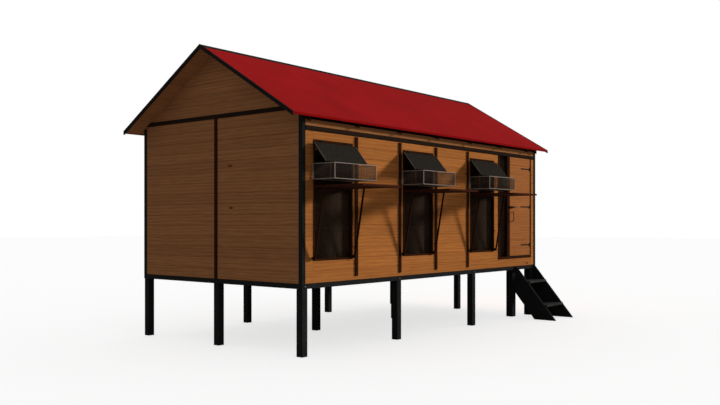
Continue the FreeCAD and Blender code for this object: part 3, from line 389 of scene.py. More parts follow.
# Beams with two coats of the same stain, close to black.
BEAM_STAIN = StainedTimber("double stained beam timber", "#2c1f17", "#1e150f", "#130d09",
                           knot_share=0.05, tone_spread=0.05, roughness=0.8)
# Flap boards with a thick mahogany stain, smooth from handling.
FLAP_STAIN = StainedTimber("mahogany stained flap board", "#4a2416", "#30160d", "#1c0d08",
                           knot_share=0.08, tone_spread=0.05, roughness=0.7)
# Boarding under the roof, oiled like the walls, lighter and greyer than them: painted fill light,
# the bounced light under the overhang's shade.
ROOF_BOARDING_WITH_PAINTED_FILL = StainedTimber("oiled larch roof boarding", "#b3794b", "#8a5a35", "#4a2a16")
# Framing as it comes from the saw: pale, dry and matt.
RAW_TIMBER = StainedTimber("sawn spruce framing timber", "#b08a5c", "#8a6339", "#4d311b",
                           relief_mm=0.5, roughness=0.88, tone_spread=0.12)
# Floor boards greyed and dulled by feet and litter.
FLOOR_TIMBER = StainedTimber("worn spruce floor boards", "#8f7049", "#694c2f", "#3e2818",
                             roughness=0.88, tone_spread=0.14)
# Sheet plywood with a brown stain: broad faint figure, even and dark.
NEST_PLYWOOD = StainedTimber("brown stained plywood", "#4a3120", "#3a2618", "#25170e", ring_mm=70.0,
                             knot_share=0.05, tone_spread=0.06, relief_mm=0.2)
# Bituminous black paint that leaves the saw marks of the posts in sight.
BLACK_PAINT = PaintedTimber("black bitumen paint on posts", "#1e1e1e", "#282726")
# Smooth black gloss on planed edge trims, gone satin outdoors.
EDGE_PAINT = PaintedTimber("black satin paint on edge trim", "#1c1918", "#282321", roughness=0.68)
# The same black paint rubbed thin where shoes tread.
TREAD_PAINT = PaintedTimber("worn black paint on treads", "#2b2b2a", "#403f3d")
# Eave trims painted to match the felt, smoother and a shade deeper.
RED_PAINT = PaintedTimber("red satin paint on eave trim", "#84090a", "#70080a", roughness=0.68)
# Felt faced with red mineral grit: matt, with a fine speckle and faint weathering.
RED_FELT = MineralFelt("red mineral roofing felt", "#921415", "#841213", "#a02122")
# Steel sheet with a dark grey outdoor coat, evenly satin.
LID_PAINT = CoatedMetal("grey coated steel sheet", "#221f1b", "#292520", 0.0, 0.75, 35.0,
                         specular=0.05)
# Iron fittings with black stove enamel, a little glossier than the timber.
BLACK_IRON = CoatedMetal("black enamelled iron", "#12110f", "#1c1a18", 0.0, 0.6, 12.0,
                          specular=0.1)
# Zinc on welded bar: light grey, dull, with the spangle's faint patches.
GALVANISED = CoatedMetal("galvanised steel bar", "#9c8e82", "#84776c", 0.2, 0.6, 9.0,
                          specular=0.2)
# Finer wire of the same kind, darkened outdoors.
GREY_WIRE = CoatedMetal("weathered galvanised wire", "#63554a", "#51453b", 0.2, 0.65, 9.0,
                         specular=0.1)
# Wire with a dark brown plastic coat, which hides the room behind it.
BROWN_WIRE = CoatedMetal("brown coated steel wire", "#4b3b30", "#554437", 0.0, 0.7, 10.0,
                          specular=0.05)
# Bright zinc on bolts and nails.
ZINC = CoatedMetal("zinc plated steel", "#7e7b76", "#65625d", 0.7, 0.5, 8.0)


class MaterialShelf:
    """Makes each finish's material once and hands it out."""

    def __init__(self) -> None:
        """Start with an empty shelf."""
        self._made: dict[str, bpy.types.Material] = {}

    def get(self, finish: Finish) -> bpy.types.Material:
        """Return the finish's material, made on first use.

        Args:
            finish: One of the finishes above.

        Returns:
            Its material.
        """
        if finish.name not in self._made:
            self._made[finish.name] = finish.material()
        return self._made[finish.name]


SHELF = MaterialShelf()


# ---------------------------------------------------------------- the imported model
class Coop:
    """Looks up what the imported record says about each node."""

    def __init__(self, loaded: dict[str, Any]) -> None:
        """Keep the record's bodies and slots.
        """
        record = loaded["record"]
        self.nodes: dict[str, bpy.types.Object] = loaded["nodes"]
        self._body = {node: body for body, members in record["behaviour"]["bodies"].items()
                      for node in members}
        self._slot = {row["node"]: row["material_slot"] for row in record["subparts"]}

    def body(self, node: str) -> str:
        """Name of the body that a node rides on."""
        return self._body[node]

    def dress(self, node: str, finish: Finish) -> None:
        """Give a CAD node that stays in view its finish.

        Args:
            node: The node's name.
            finish: The finish that it gets.
        """
        data = self.nodes[node].data
        data.materials.clear()
        data.materials.append(SHELF.get(finish))
        LOG.info("dressed %s as %s", node, finish.name)


COOP = Coop(frame)


def add_piece(name: str, shape: bmesh.types.BMesh, finish: Finish, body: str) -> bpy.types.Object:
    """Turn a bmesh into a finished piece that rides on a body.

    Args:
        name: The piece's name.
        shape: Its mesh, in place; it is freed.
        finish: Its finish.
        body: The body that it rides on.

    Returns:
        The new object.
    """
    mesh = bpy.data.meshes.new(name)
    shape.to_mesh(mesh)
    shape.free()
    mesh.materials.append(SHELF.get(finish))
    piece = bpy.data.objects.new(name, mesh)
    bpy.context.scene.collection.objects.link(piece)
    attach(piece, body)
    LOG.info("made %s: %d faces on %s", name, len(mesh.polygons), body)
    return piece


# ---------------------------------------------------------------- eased timbers
def once_each(items: Iterable[Any]) -> list[Any]:
    """Drop repeats but keep the order; a set's order would differ from run to run."""
    return list(dict.fromkeys(items))


def mark_solids(shape: bmesh.types.BMesh) -> None:
    """Number the faces by solid: a solid ends where no edge is left open.

    Args:
        shape: A node's mesh, solid after solid.
    """
    layer = shape.faces.layers.int.new(PART)
    unpaired: set[frozenset[tuple[int, ...]]] = set()
    number = 0
    for face in shape.faces:
        face[layer] = number
        corners = [tuple(round(value / WELD) for value in vert.co) for vert in face.verts]
        for pair in zip(corners, corners[1:] + corners[:1]):
            unpaired ^= {frozenset(pair)}
        if not unpaired:
            number += 1


def by_solid(shape: bmesh.types.BMesh) -> list[list[bmesh.types.BMFace]]:
    """Group the faces of a mesh by the solid that they were numbered for.

    Args:
        shape: A mesh from node_shape().

    Returns:
        The faces of each solid.
    """
    layer = shape.faces.layers.int[PART]
    groups: dict[int, list[bmesh.types.BMFace]] = {}
    for face in shape.faces:
        groups.setdefault(face[layer], []).append(face)
    return list(groups.values())


def node_shape(node: str) -> bmesh.types.BMesh:
    """Copy a CAD node with each solid merged within itself and its flat faces whole.

    Args:
        node: The node's name.

    Returns:
        A mesh of separate closed solids, numbered.
    """
    shape = bmesh.new()
    shape.from_mesh(COOP.nodes[node].data)
    mark_solids(shape)
    bmesh.ops.split_edges(shape, edges=shape.edges[:])
    for corners in [once_each(vert for face in group for vert in face.verts)
                    for group in by_solid(shape)]:
        bmesh.ops.remove_doubles(shape, verts=[vert for vert in corners if vert.is_valid],
                                 dist=WELD)
    bmesh.ops.dissolve_limit(shape, angle_limit=COPLANAR, verts=shape.verts, edges=shape.edges)
    return shape


def long_way(group: list[bmesh.types.BMFace]) -> Vector:
    """Direction of a solid's longest edge, which its grain follows.

    Args:
        group: The solid's faces.

    Returns:
        A unit vector.
    """
    edges = once_each(edge for face in group for edge in face.edges)
    longest = max(edges, key=lambda edge: edge.calc_length())
    return (longest.verts[1].co - longest.verts[0].co).normalized()


def place_seed(point: Vector) -> float:
    """A number from 0 to 1 that depends only on where a board lies."""
    return math.sin(point.dot(Vector((12.99, 78.23, 37.72)))) * 437.58 % 1.0


def eased_timber(node: str, finish: Finish, ease_mm: float = 2.0, segments: int = 1,
                 side: Optional["Side"] = None) -> None:
    """Copy a CAD node of boards or bars with eased edges, a grain map and a seed per board.

    Args:
        node: The CAD node that the copy stands for.
        finish: Its finish.
        ease_mm: Width of the eased edge.
        segments: Faces across the eased edge.
        side: The wall's side, for boards whose joints fall outwards.
    """
    shape = node_shape(node)
    if side:
        slope_joints(shape, side)
    layer = shape.faces.layers.float.new(SEED)
    for group in by_solid(shape):
        seed = place_seed(group[0].calc_center_median())
        for face in group:
            face[layer] = seed
    sharp = [edge for edge in shape.edges
             if edge.is_manifold and edge.calc_face_angle(0.0) > SHARP]
    bmesh.ops.bevel(shape, geom=sharp, offset=ease_mm * MM, offset_type="OFFSET",
                    segments=segments, profile=0.5, affect="EDGES", material=-1,
                    clamp_overlap=True)
    map_grain(shape, side)
    piece = add_piece(f"{node}_eased", shape, finish, COOP.body(node))
    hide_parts(node)


def slope_joints(shape: bmesh.types.BMesh, side: "Side", fall_mm: float = 16.0,
                 gap_mm: float = 3.0) -> None:
    """Slope the joints between boards, so that rain runs out and no light comes in.

    Args:
        shape: The wall's boards.
        side: The way that the wall looks.
        fall_mm: How far a joint falls from the inner face to the outer one.
        gap_mm: Widest gap that still counts as a joint.
    """
    axis = side.across
    depths = [vert.co[axis] for vert in shape.verts]
    middle = (min(depths) + max(depths)) / 2
    levels = sorted({round(vert.co.z, 5) for vert in shape.verts})
    joints = {level for pair in zip(levels, levels[1:])
              if pair[1] - pair[0] < gap_mm * MM for level in pair}
    for vert in shape.verts:
        inside = (vert.co[axis] - middle) * side.out[axis] < 0
        if inside and round(vert.co.z, 5) in joints:
            vert.co.z += fall_mm * MM
    shape.normal_update()


def map_grain(shape: bmesh.types.BMesh, side: Optional["Side"] = None) -> None:
    """Lay the grain map along each board, in metres.

    Args:
        shape: The mesh that gets the map.
        side: The wall's side, for level boards, some of them cut shorter than they are high.
    """
    layer = shape.loops.layers.uv.new(GRAIN_UV)
    for group in by_solid(shape):
        along = side.level_way if side else long_way(group)
        for face in group:
            across = face.normal.cross(along)
            run = along
            if across.length < 0.5:        # an end face, across the grain
                across = along.orthogonal().normalized()
                run = face.normal.cross(across)
            for loop in face.loops:
                point = loop.vert.co
                loop[layer].uv = (point.dot(run), point.dot(across))


def corners_of(points: list[Vector]) -> tuple[Vector, Vector]:
    """Lowest and highest corners of the box around some points."""
    return tuple(Vector([pick(point[axis] for point in points) for axis in range(3)])
                 for pick in (min, max))


def turned_to(way: Vector) -> Matrix:
    """The turn that takes an upright shape to lie along a way."""
    return UP.rotation_difference(way).to_matrix().to_4x4()


def smooth_rounds(shape: bmesh.types.BMesh) -> None:
    """Shade the round sides of rods smooth and leave their ends flat."""
    for face in shape.faces:
        face.smooth = len(face.verts) == 4


def solid_boxes(node: str) -> list[tuple[Vector, Vector]]:
    """Lowest and highest corners of each solid of a node, from the lowest one up.

    Args:
        node: The node's name.

    Returns:
        One pair of corners for each solid.
    """
    shape = node_shape(node)
    pairs = []
    for group in by_solid(shape):
        pairs.append(corners_of([vert.co for face in group for vert in face.verts]))
    shape.free()
    return sorted(pairs, key=lambda pair: (round(pair[0].z, 4), pair[0].x, pair[0].y))


def repeat(shape: bmesh.types.BMesh, verts: list[bmesh.types.BMVert],
           places: list[Vector]) -> None:
    """Move a closed part from the origin to the first place and copy it to the others.

    Args:
        shape: The mesh that holds the part.
        verts: The part's vertices.
        places: Where the part goes.
    """
    faces = once_each(face for vert in verts for face in vert.link_faces)
    for place in places[1:]:
        made = bmesh.ops.duplicate(shape, geom=faces)["geom"]
        copied = [item for item in made if isinstance(item, bmesh.types.BMVert)]
        bmesh.ops.translate(shape, verts=copied, vec=place)
    bmesh.ops.translate(shape, verts=verts, vec=places[0])


# ---------------------------------------------------------------- wire netting
@dataclass(frozen=True)
class Netting:
    """Welded netting: straight wires one way, and a second layer laid across them.

    Args:
        wire_mm: Wire diameter.
        level_gap_mm: Gap between upright wires, measured level.
        rise_gap_mm: Gap between level wires, measured up.
        sides: Flat sides of a wire.
        lap: How far out the second layer lies, in wire radii: under two, so that they touch.
    """

    wire_mm: float
    level_gap_mm: float
    rise_gap_mm: float
    sides: int = 6
    lap: float = 1.96

    def replace(self, node: str, name: str, finish: Finish) -> None:
        """Lay netting over every thin sheet of a node.

        Args:
            node: The CAD node of sheets.
            name: The new piece's name.
            finish: The wire's finish.
        """
        shape = bmesh.new()
        for low, high in solid_boxes(node):
            self._cover(shape, low, high)
        smooth_rounds(shape)
        piece = add_piece(name, shape, finish, COOP.body(node))
        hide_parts(node)

    def _cover(self, shape: bmesh.types.BMesh, low: Vector, high: Vector) -> None:
        """Cover one sheet with its two layers of wires.

        Args:
            shape: The mesh that gets the wires.
            low: The sheet's lowest corner.
            high: Its highest corner.
        """
        size = high - low
        thin = min(range(3), key=lambda axis: size[axis])
        flat = [axis for axis in range(3) if axis != thin]
        radius = self.wire_mm * MM / 2
        for order, (run, step) in enumerate((flat, flat[::-1])):
            gap = (self.rise_gap_mm if step == 2 else self.level_gap_mm) * MM
            count = max(2, round(size[step] / gap))
            first = low.copy()
            first[thin] = low[thin] + radius * (1 + self.lap * order)
            first[step] += radius
            way = Vector([float(axis == run) for axis in range(3)])
            step_way = Vector([float(axis == step) for axis in range(3)])
            rod = bmesh.ops.create_cone(shape, cap_ends=True, segments=self.sides,
                                        radius1=radius, radius2=radius, depth=size[run],
                                        matrix=turned_to(way))["verts"]
            even = (size[step] - 2 * radius) / count
            start = first + way * (size[run] / 2)
            repeat(shape, rod, [start + step_way * (even * index) for index in range(count + 1)])


FINE_NET = Netting(wire_mm=1.8, level_gap_mm=8.0, rise_gap_mm=8.0)
BASKET_NET = Netting(wire_mm=2.2, level_gap_mm=8.5, rise_gap_mm=17.0)


# ---------------------------------------------------------------- nails and screws
class Side(Enum):
    """A side of the house, by the way that it looks."""

    FRONT = (0.0, -1.0, 0.0)
    BACK = (0.0, 1.0, 0.0)
    LEFT = (-1.0, 0.0, 0.0)
    RIGHT = (1.0, 0.0, 0.0)

    @property
    def out(self) -> Vector:
        """The way that the side looks."""
        return Vector(self.value)

    def face(self, low: Vector, high: Vector) -> float:
        """Where a box's face on this side lies, on the side's own axis."""
        return (high if sum(self.value) > 0 else low)[self.across]

    @property
    def across(self) -> int:
        """Number of the axis that runs through the side."""
        return 1 if self in (Side.FRONT, Side.BACK) else 0

    @property
    def along(self) -> int:
        """Number of the level axis that runs along the side."""
        return 1 - self.across

    @property
    def level_way(self) -> Vector:
        """The level way along the side."""
        return Vector([float(axis == self.along) for axis in range(3)])


@dataclass(frozen=True)
class Heads:
    """Domed heads of nails or screws.

    Args:
        radius_mm: Radius of a head.
        rise_mm: How far it stands out.
        finish: Its finish.
        crown: Radius at the top, as a share of the full one.
        sides: Flat sides of a head.
    """

    radius_mm: float
    rise_mm: float
    finish: Finish
    crown: float = 0.6
    sides: int = 10

    def drive(self, name: str, node: str, out: Vector, places: list[Vector]) -> None:
        """Put a head on each place of a node's face.

        Args:
            name: The new piece's name.
            node: The CAD node whose body and slot the heads take.
            out: The way that the face looks.
            places: Points on the face.
        """
        shape = bmesh.new()
        radius, rise = self.radius_mm * MM, self.rise_mm * MM
        head = bmesh.ops.create_cone(shape, cap_ends=True, segments=self.sides, radius1=radius,
                                     radius2=radius * self.crown, depth=2 * rise,
                                     matrix=turned_to(out))["verts"]
        repeat(shape, head, places)
        add_piece(name, shape, self.finish, COOP.body(node))


BOARD_NAIL = Heads(4.5, 1.2, BLACK_IRON)
FELT_NAIL = Heads(6.0, 1.2, RED_FELT)
SCREW = Heads(4.5, 1.5, ZINC)


def nail_rows(boards: str, posts: list[tuple[Vector, Vector]], side: Side,
              share: float = 0.22, reach_mm: float = 80.0,
              margin_mm: float = 10.0) -> list[Vector]:
    """Places of two nails where each board crosses each post.

    Args:
        boards: The node of boards.
        posts: Boxes of the posts behind them.
        side: The side that the nails are driven from.
        share: Part of a board's height from its edge to the nail.
        reach_mm: How far behind the boards' outer faces a post may lie.
        margin_mm: Least length of board past a nail.

    Returns:
        Points on the boards' outer faces.
    """
    places = []
    along, across = side.along, side.across
    for low, high in solid_boxes(boards):
        for post_low, post_high in posts:
            middle = (post_low[along] + post_high[along]) / 2
            depth = abs(side.face(low, high) - side.face(post_low, post_high))
            spare = min(middle - low[along], high[along] - middle)
            if depth >= reach_mm * MM or spare <= margin_mm * MM:
                continue
            for part in (share, 1 - share):
                point = Vector((0.0, 0.0, low.z + (high.z - low.z) * part))
                point[along] = middle
                point[across] = side.face(low, high)
                places.append(point)
    return places


def plate_faces(node: str, out: Vector) -> list[tuple[Vector, Vector]]:
    """Find the largest face that looks one way on each solid of a node.

    Args:
        node: The node's name.
        out: The way that the faces look.

    Returns:
        Lowest and highest corner of each face.
    """
    shape = node_shape(node)
    found = []
    for group in by_solid(shape):
        facing = [face for face in group if face.normal.dot(out) > FACING]
        if facing:
            largest = max(facing, key=lambda face: face.calc_area())
            found.append(corners_of([vert.co for vert in largest.verts]))
    shape.free()
    return found


def screw_down(node: str, out: Vector, shares: tuple[float, ...]) -> None:
    """Put screws in a row along each plate of a node.

    Args:
        node: The node of plates.
        out: The way that the plates' outer faces look.
        shares: Places along a plate, from 0 at its lower end to 1.
    """
    places = []
    for low, high in plate_faces(node, out):
        size = high - low
        along = max(range(3), key=lambda axis: size[axis])
        for share in shares:
            point = (low + high) / 2
            point[along] = low[along] + size[along] * share
            places.append(point)
    if places:
        SCREW.drive(f"{node}_screws", node, out, places)


# ---------------------------------------------------------------- sub-assemblies
@dataclass
class FloorFrame:
    """Legs, beams, joists and floor boards, with the coach bolts through the legs."""

    post_ease_mm: float = 4.0
    beam_ease_mm: float = 3.0
    board_ease_mm: float = 1.5

    def build(self) -> None:
        """Ease the timbers and plate the bolts."""
        eased_timber("legs", BLACK_PAINT, self.post_ease_mm, 2)
        eased_timber("floor_beams", BLACK_PAINT, self.beam_ease_mm, 2)
        eased_timber("floor_joists", RAW_TIMBER)
        eased_timber("floor_boards", FLOOR_TIMBER, self.board_ease_mm)
        COOP.dress("coach_bolts", ZINC)


@dataclass
class Walls:
    """Corner posts, studs, boards on four sides, battens and beams, and the boards' nails."""

    board_ease_mm: float = 1.0
    gable_ease_mm: float = 2.0
    trim_ease_mm: float = 2.0

    def build(self) -> None:
        """Ease the timbers and nail the boards to the studs."""
        eased_timber("corner_posts", BLACK_PAINT, 3.0, 2)
        eased_timber("wall_studs", RAW_TIMBER)
        # The gable sides take the greyer stain, whose tint is painted shade.
        for side, finish in ((Side.FRONT, WALL_STAIN), (Side.BACK, WALL_STAIN),
                             (Side.LEFT, SHADE_TINTED_GABLE_STAIN), (Side.RIGHT, SHADE_TINTED_GABLE_STAIN)):
            boards = f"{side.name.lower()}_wall_boards"
            eased_timber(boards, finish, self.board_ease_mm, side=side)
            self._nail(boards, side)
        # Gable triangles in the same stain, greyed by painted shade.
        eased_timber("left_gable_boards", SHADE_TINTED_GABLE_STAIN, self.gable_ease_mm)
        eased_timber("right_gable_boards", SHADE_TINTED_GABLE_STAIN, self.gable_ease_mm)
        eased_timber("wall_battens", DARK_STAIN, self.trim_ease_mm)
        eased_timber("top_beams", BEAM_STAIN, 3.0, 2)
        eased_timber("gable_tie_beams", BEAM_STAIN, 3.0, 2)
        # The frieze's lighter stain is painted fill light from under the eave.
        eased_timber("frieze_boards", FRIEZE_STAIN_WITH_PAINTED_FILL, self.board_ease_mm)

    def _nail(self, boards: str, side: Side) -> None:
        """Nail one wall's boards where they cross the studs.

        Args:
            boards: The wall's node of boards.
            side: The way that the wall looks.
        """
        places = nail_rows(boards, solid_boxes("wall_studs"), side)
        if places:
            BOARD_NAIL.drive(f"{boards}_nails", boards, side.out, places)


@dataclass
class Roof:
    """Ridge beam, rafters and boarding under two felt slopes, a ridge cap and edge trims."""

    nail_gap_mm: float = 110.0
    nail_inset_mm: float = 22.0
    eave_inset_mm: float = 12.0     # further in at the eave, clear of the drip edge
    ridge_clear_mm: float = 240.0   # length of verge left without nails, under the cap

    def build(self) -> None:
        """Ease the timbers, lay the felt and nail its edges."""
        eased_timber("ridge_beam", RAW_TIMBER)
        eased_timber("rafters", DARK_STAIN)
        # The boarding's lighter stain is painted fill light under the overhang.
        eased_timber("roof_boards", ROOF_BOARDING_WITH_PAINTED_FILL, 1.5)
        eased_timber("barge_boards", EDGE_PAINT, 2.5, 2)
        eased_timber("eave_fascias", RED_PAINT, 1.5)
        COOP.dress("ridge_cap", EDGE_PAINT)
        for node in ("roof_sheet_front", "roof_sheet_back"):
            COOP.dress(node, RED_FELT)
            self._nail_edges(node)

    def _nail_edges(self, node: str) -> None:
        """Drive nails along the eave and both verges of one slope.

        Args:
            node: The slope's node of felt.
        """
        data = COOP.nodes[node].data
        out = max(data.polygons, key=lambda face: face.area * face.normal.z).normal.copy()
        low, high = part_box(node)
        eave_y, ridge_y = (low.y, high.y) if out.y < 0 else (high.y, low.y)
        top = [vert.co for vert in data.vertices]
        level = max(point.dot(out) for point in top)
        inset, gap = self.nail_inset_mm * MM, self.nail_gap_mm * MM

        def on_slope(x: float, y: float) -> Vector:
            """The point of the felt's upper face over a place in plan."""
            return Vector((x, y, (level - x * out.x - y * out.y) / out.z))

        inward = math.copysign(1.0, ridge_y - eave_y)
        eave_line = eave_y + inward * (inset + self.eave_inset_mm * MM)
        count = round((high.x - low.x - 2 * inset) / gap)
        across = [low.x + inset + (high.x - low.x - 2 * inset) * index / count
                  for index in range(count + 1)]
        places = [on_slope(x, eave_line) for x in across]
        rise = abs(ridge_y - eave_y) - self.ridge_clear_mm * MM
        count = round(rise / gap)
        for x in (low.x + inset, high.x - inset):
            places += [on_slope(x, eave_line + inward * rise * index / count)
                       for index in range(1, count + 1)]
        FELT_NAIL.drive(f"{node}_nails", node, out, places)


@dataclass
class Windows:
    """Frames of the three openings and the netting in them."""

    netting: Netting = FINE_NET

    def build(self) -> None:
        """Ease the frames and lay the netting."""
        eased_timber("window_frames", DARK_STAIN, 2.0, 2)
        self.netting.replace("window_netting", "window_wire_netting", BROWN_WIRE)


@dataclass
class Baskets:
    """Wire baskets on the front wall: welded bars with netting between them."""

    netting: Netting = BASKET_NET

    def build(self) -> None:
        """Galvanise the bars and lay the netting."""
        COOP.dress("basket_frames", GALVANISED)
        self.netting.replace("basket_netting", "basket_wire_netting", GREY_WIRE)


@dataclass
class FlapsAndLids:
    """For each window a lid over its basket, and a flap under it on two props.

    Args:
        count: Number of windows.
        flap_ease_mm: Eased edge of a flap.
        prop_ease_mm: Eased edge of a prop.
        bead_mm: Thickness of the light grey bead along a lid's sides, a painted highlight.
        bead_stand: How far its middle stands out of the lid, in radii.
    """

    count: int = 3
    flap_ease_mm: float = 3.0
    prop_ease_mm: float = 1.5
    bead_mm: float = 5.0
    bead_stand: float = 0.3

    def build(self) -> None:
        """Paint the lids, ease the flaps and props, and screw the plates on."""
        for number in range(1, self.count + 1):
            COOP.dress(f"lid_{number}", LID_PAINT)
            self._lay_highlight_bead(f"lid_{number}")
            eased_timber(f"flap_{number}", FLAP_STAIN, self.flap_ease_mm, 2)
            eased_timber(f"props_{number}", DARK_STAIN, self.prop_ease_mm)
            COOP.dress(f"flap_straps_{number}", BLACK_IRON)
            screw_down(f"flap_straps_{number}", DOWN, (0.3, 0.6, 0.9))
        for node in ("lid_hinge_plates", "flap_hinge_plates", "prop_clips"):
            COOP.dress(node, BLACK_IRON)
        for node in ("lid_hinge_plates", "flap_hinge_plates"):
            screw_down(node, Side.FRONT.out, (0.2, 0.8))

    def _lay_highlight_bead(self, lid: str) -> None:
        """Run a light grey galvanised bead down both sides of a lid's upper face, as a painted
        highlight along its edges.

        Args:
            lid: The lid's node.
        """
        source = node_shape(lid)
        top = max((face for face in source.faces if face.normal.z > 0.2),
                  key=lambda face: face.calc_area())
        normal, points = top.normal.copy(), [vert.co.copy() for vert in top.verts]
        source.free()
        shape = bmesh.new()
        radius = self.bead_mm * MM / 2
        for sign in (-1, 1):
            edge = max(point.x * sign for point in points) * sign
            ends = [point for point in points if abs(point.x - edge) < WELD * 10]
            high, low = max(ends, key=lambda end: end.z), min(ends, key=lambda end: end.z)
            run = low - high
            middle = ((high + low) / 2 - Vector((sign * radius, 0, 0))
                      + normal * radius * self.bead_stand)
            bmesh.ops.create_cone(shape, cap_ends=True, segments=10, radius1=radius,
                                  radius2=radius, depth=run.length - 2 * radius,
                                  matrix=Matrix.Translation(middle) @ turned_to(run))
        smooth_rounds(shape)
        # The light grey beads are a painted highlight along the lid's edges.
        add_piece(f"{lid}_beads", shape, GALVANISED, COOP.body(lid))


@dataclass
class Door:
    """Boarded door on strap hinges, with its surround, ledges, pull, bolt and side panel."""

    netting: Netting = FINE_NET
    nail_inset_mm: float = 50.0

    def build(self) -> None:
        """Ease the timbers, lay the netting and finish the fittings."""
        eased_timber("door_surround", DARK_STAIN, 2.5, 2)
        eased_timber("door_boards", DOOR_STAIN, 1.0, side=Side.FRONT)
        eased_timber("door_ledges", RAW_TIMBER, 2.0)
        self.netting.replace("side_panel_netting", "side_panel_wire_netting", BROWN_WIRE)
        for node in ("door_hinge_plates", "bolt_keep", "door_straps", "door_pull",
                     "bolt_guides"):
            COOP.dress(node, BLACK_IRON)
        COOP.dress("door_bolt", ZINC)
        screw_down("door_straps", Side.FRONT.out, (0.06, 0.36, 0.66))
        screw_down("door_hinge_plates", Side.FRONT.out, (0.5,))
        self._nail()

    def _nail(self) -> None:
        """Nail the door's boards where they cross the level ledges."""
        ledges = [(low, high) for low, high in solid_boxes("door_ledges")
                  if high.z - low.z < high.x - low.x]
        places, inset = [], self.nail_inset_mm * MM
        for low, high in solid_boxes("door_boards"):
            for ledge_low, ledge_high in ledges:
                middle = (ledge_low.z + ledge_high.z) / 2
                if low.z < middle < high.z:
                    places += [Vector((x, low.y, middle))
                               for x in (low.x + inset, high.x - inset)]
        if places:
            BOARD_NAIL.drive("door_board_nails", "door_boards", Side.FRONT.out, places)


@dataclass
class Stair:
    """Two stringers with treads on cleats."""

    edge_mm: float = 3.0

    def build(self) -> None:
        """Ease the timbers."""
        eased_timber("stair_stringers", BLACK_PAINT, self.edge_mm, 2)
        eased_timber("stair_treads", TREAD_PAINT, self.edge_mm, 2)
        eased_timber("stair_cleats", BLACK_PAINT, self.edge_mm)


@dataclass
class Interior:
    """Nest boxes, roost perches and the bearers under the perches."""

    perch_ease_mm: float = 2.5

    def build(self) -> None:
        """Ease the timbers."""
        eased_timber("nest_boxes", NEST_PLYWOOD, 1.0)
        eased_timber("roost_perches", RAW_TIMBER, self.perch_ease_mm, 2)
        eased_timber("perch_supports", RAW_TIMBER)


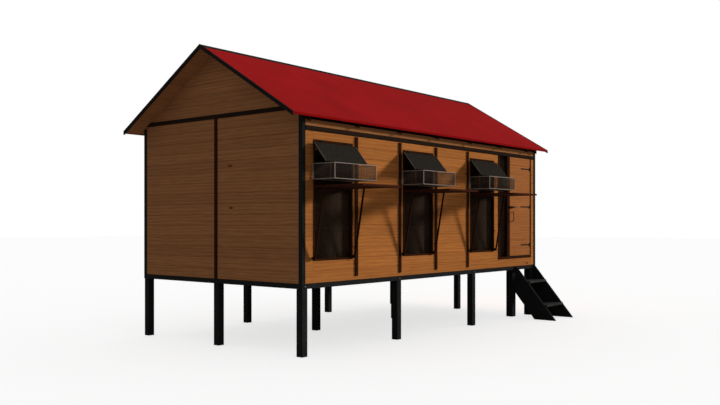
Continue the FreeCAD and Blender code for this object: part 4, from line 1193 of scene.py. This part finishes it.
# ---------------------------------------------------------------- studio
@dataclass(frozen=True)
class Studio:
    """Pale floor, soft low key light, white surround, and the camera at eye height."""

    camera_from_corner: tuple[float, float, float] = (-7.005, -6.601, 1.603)
    heading_deg: float = 39.18      # of the view's middle line, from +X towards +Y
    lens_mm: float = 40.21
    shift_up: float = 0.0292
    key_way: tuple[float, float, float] = (-2.8, 1.0, -0.65)
    key_power: float = 5.9
    key_angle_deg: float = 7.0
    fill: float = 0.33
    floor_half: float = 80.0
    floor_drop_mm: float = 0.5
    floor_glow: float = 0.7
    far_clip: float = 300.0

    def build(self) -> None:
        """Set the whole studio up."""
        self._camera()
        self._light(self._floor())
        bpy.context.scene.view_settings.view_transform = "Standard"

    def _link(self, name: str, data: Any) -> bpy.types.Object:
        """Make an object of the data and put it in the scene.

        Args:
            name: The object's name.
            data: Its mesh, light or camera.

        Returns:
            The new object.
        """
        item = bpy.data.objects.new(name, data)
        bpy.context.scene.collection.objects.link(item)
        return item

    def _camera(self) -> None:
        """Set up the camera, level, aimed along its heading."""
        front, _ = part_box("front_wall_boards")
        left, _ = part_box("left_wall_boards")
        data = bpy.data.cameras.new("view_camera")
        data.lens = self.lens_mm
        data.shift_y = self.shift_up
        data.clip_end = self.far_clip
        camera = self._link("view_camera", data)
        camera.location = Vector((left.x, front.y, 0.0)) + Vector(self.camera_from_corner)
        camera.rotation_euler = (math.radians(90), 0, math.radians(self.heading_deg - 90))
        bpy.context.scene.camera = camera

    def _floor(self) -> bpy.types.Object:
        """Lay a wide pale floor under the feet, clear from below so the underside can be seen.

        Returns:
            The floor.
        """
        shape = bmesh.new()
        bmesh.ops.create_grid(shape, x_segments=1, y_segments=1, size=self.floor_half)
        mesh = bpy.data.meshes.new("studio_floor")
        shape.to_mesh(mesh)
        shape.free()
        material, tree = new_material("pale studio floor")
        seen = add_node(tree, "ShaderNodeLightPath").outputs["Is Camera Ray"]
        glow = add_node(tree, "ShaderNodeMath", {0: seen, 1: self.floor_glow}, operation="MULTIPLY")
        shader = add_node(tree, "ShaderNodeBsdfPrincipled",
                          {"Base Color": linear("#e8e8e8"), "Roughness": 0.9,
                           "Emission Color": linear("#ffffff"),
                           "Emission Strength": glow.outputs["Value"]})
        under = add_node(tree, "ShaderNodeNewGeometry").outputs["Backfacing"]
        clear = add_node(tree, "ShaderNodeBsdfTransparent")
        both = add_node(tree, "ShaderNodeMixShader", {0: under, 1: shader.outputs["BSDF"],
                                                      2: clear.outputs["BSDF"]})
        add_node(tree, "ShaderNodeOutputMaterial", {"Surface": both.outputs["Shader"]})
        mesh.materials.append(material)
        floor = self._link("studio_floor", mesh)
        floor.location.z = -self.floor_drop_mm * MM
        return floor

    def _light(self, floor: bpy.types.Object) -> None:
        """Add the low key light, which leaves the floor out, and the white surround.

        Args:
            floor: The floor.
        """
        data = bpy.data.lights.new("key_light", "SUN")
        data.energy = self.key_power
        data.angle = math.radians(self.key_angle_deg)
        key = self._link("key_light", data)
        key.rotation_euler = Vector(self.key_way).to_track_quat("-Z", "Y").to_euler()
        key.visible_glossy = False     # a diffuser that wide leaves no glare on paint
        lit = bpy.data.collections.new("lit_by_key")
        lit.objects.link(floor)
        key.light_linking.receiver_collection = lit
        lit.collection_objects[0].light_linking.link_state = "EXCLUDE"
        world = bpy.data.worlds.new("white_surround")
        world.use_nodes = True
        tree = world.node_tree
        tree.nodes.clear()
        seen = add_node(tree, "ShaderNodeLightPath").outputs["Is Camera Ray"]
        strength = add_node(tree, "ShaderNodeMapRange", {"Value": seen, "To Min": self.fill,
                                                         "To Max": 1.0})
        shade = add_node(tree, "ShaderNodeBackground",
                         {"Color": linear("#ffffff"), "Strength": strength.outputs["Result"]})
        add_node(tree, "ShaderNodeOutputWorld", {"Surface": shade.outputs["Background"]})
        bpy.context.scene.world = world


def main() -> None:
    """Build every sub-assembly in order."""
    logging.basicConfig(level=logging.INFO, format="%(name)s: %(message)s")
    for part in (Studio(), FloorFrame(), Walls(), Roof(), Windows(), Baskets(), FlapsAndLids(),
                 Door(), Stair(), Interior()):
        part.build()


if __name__ == "__main__":
    main()
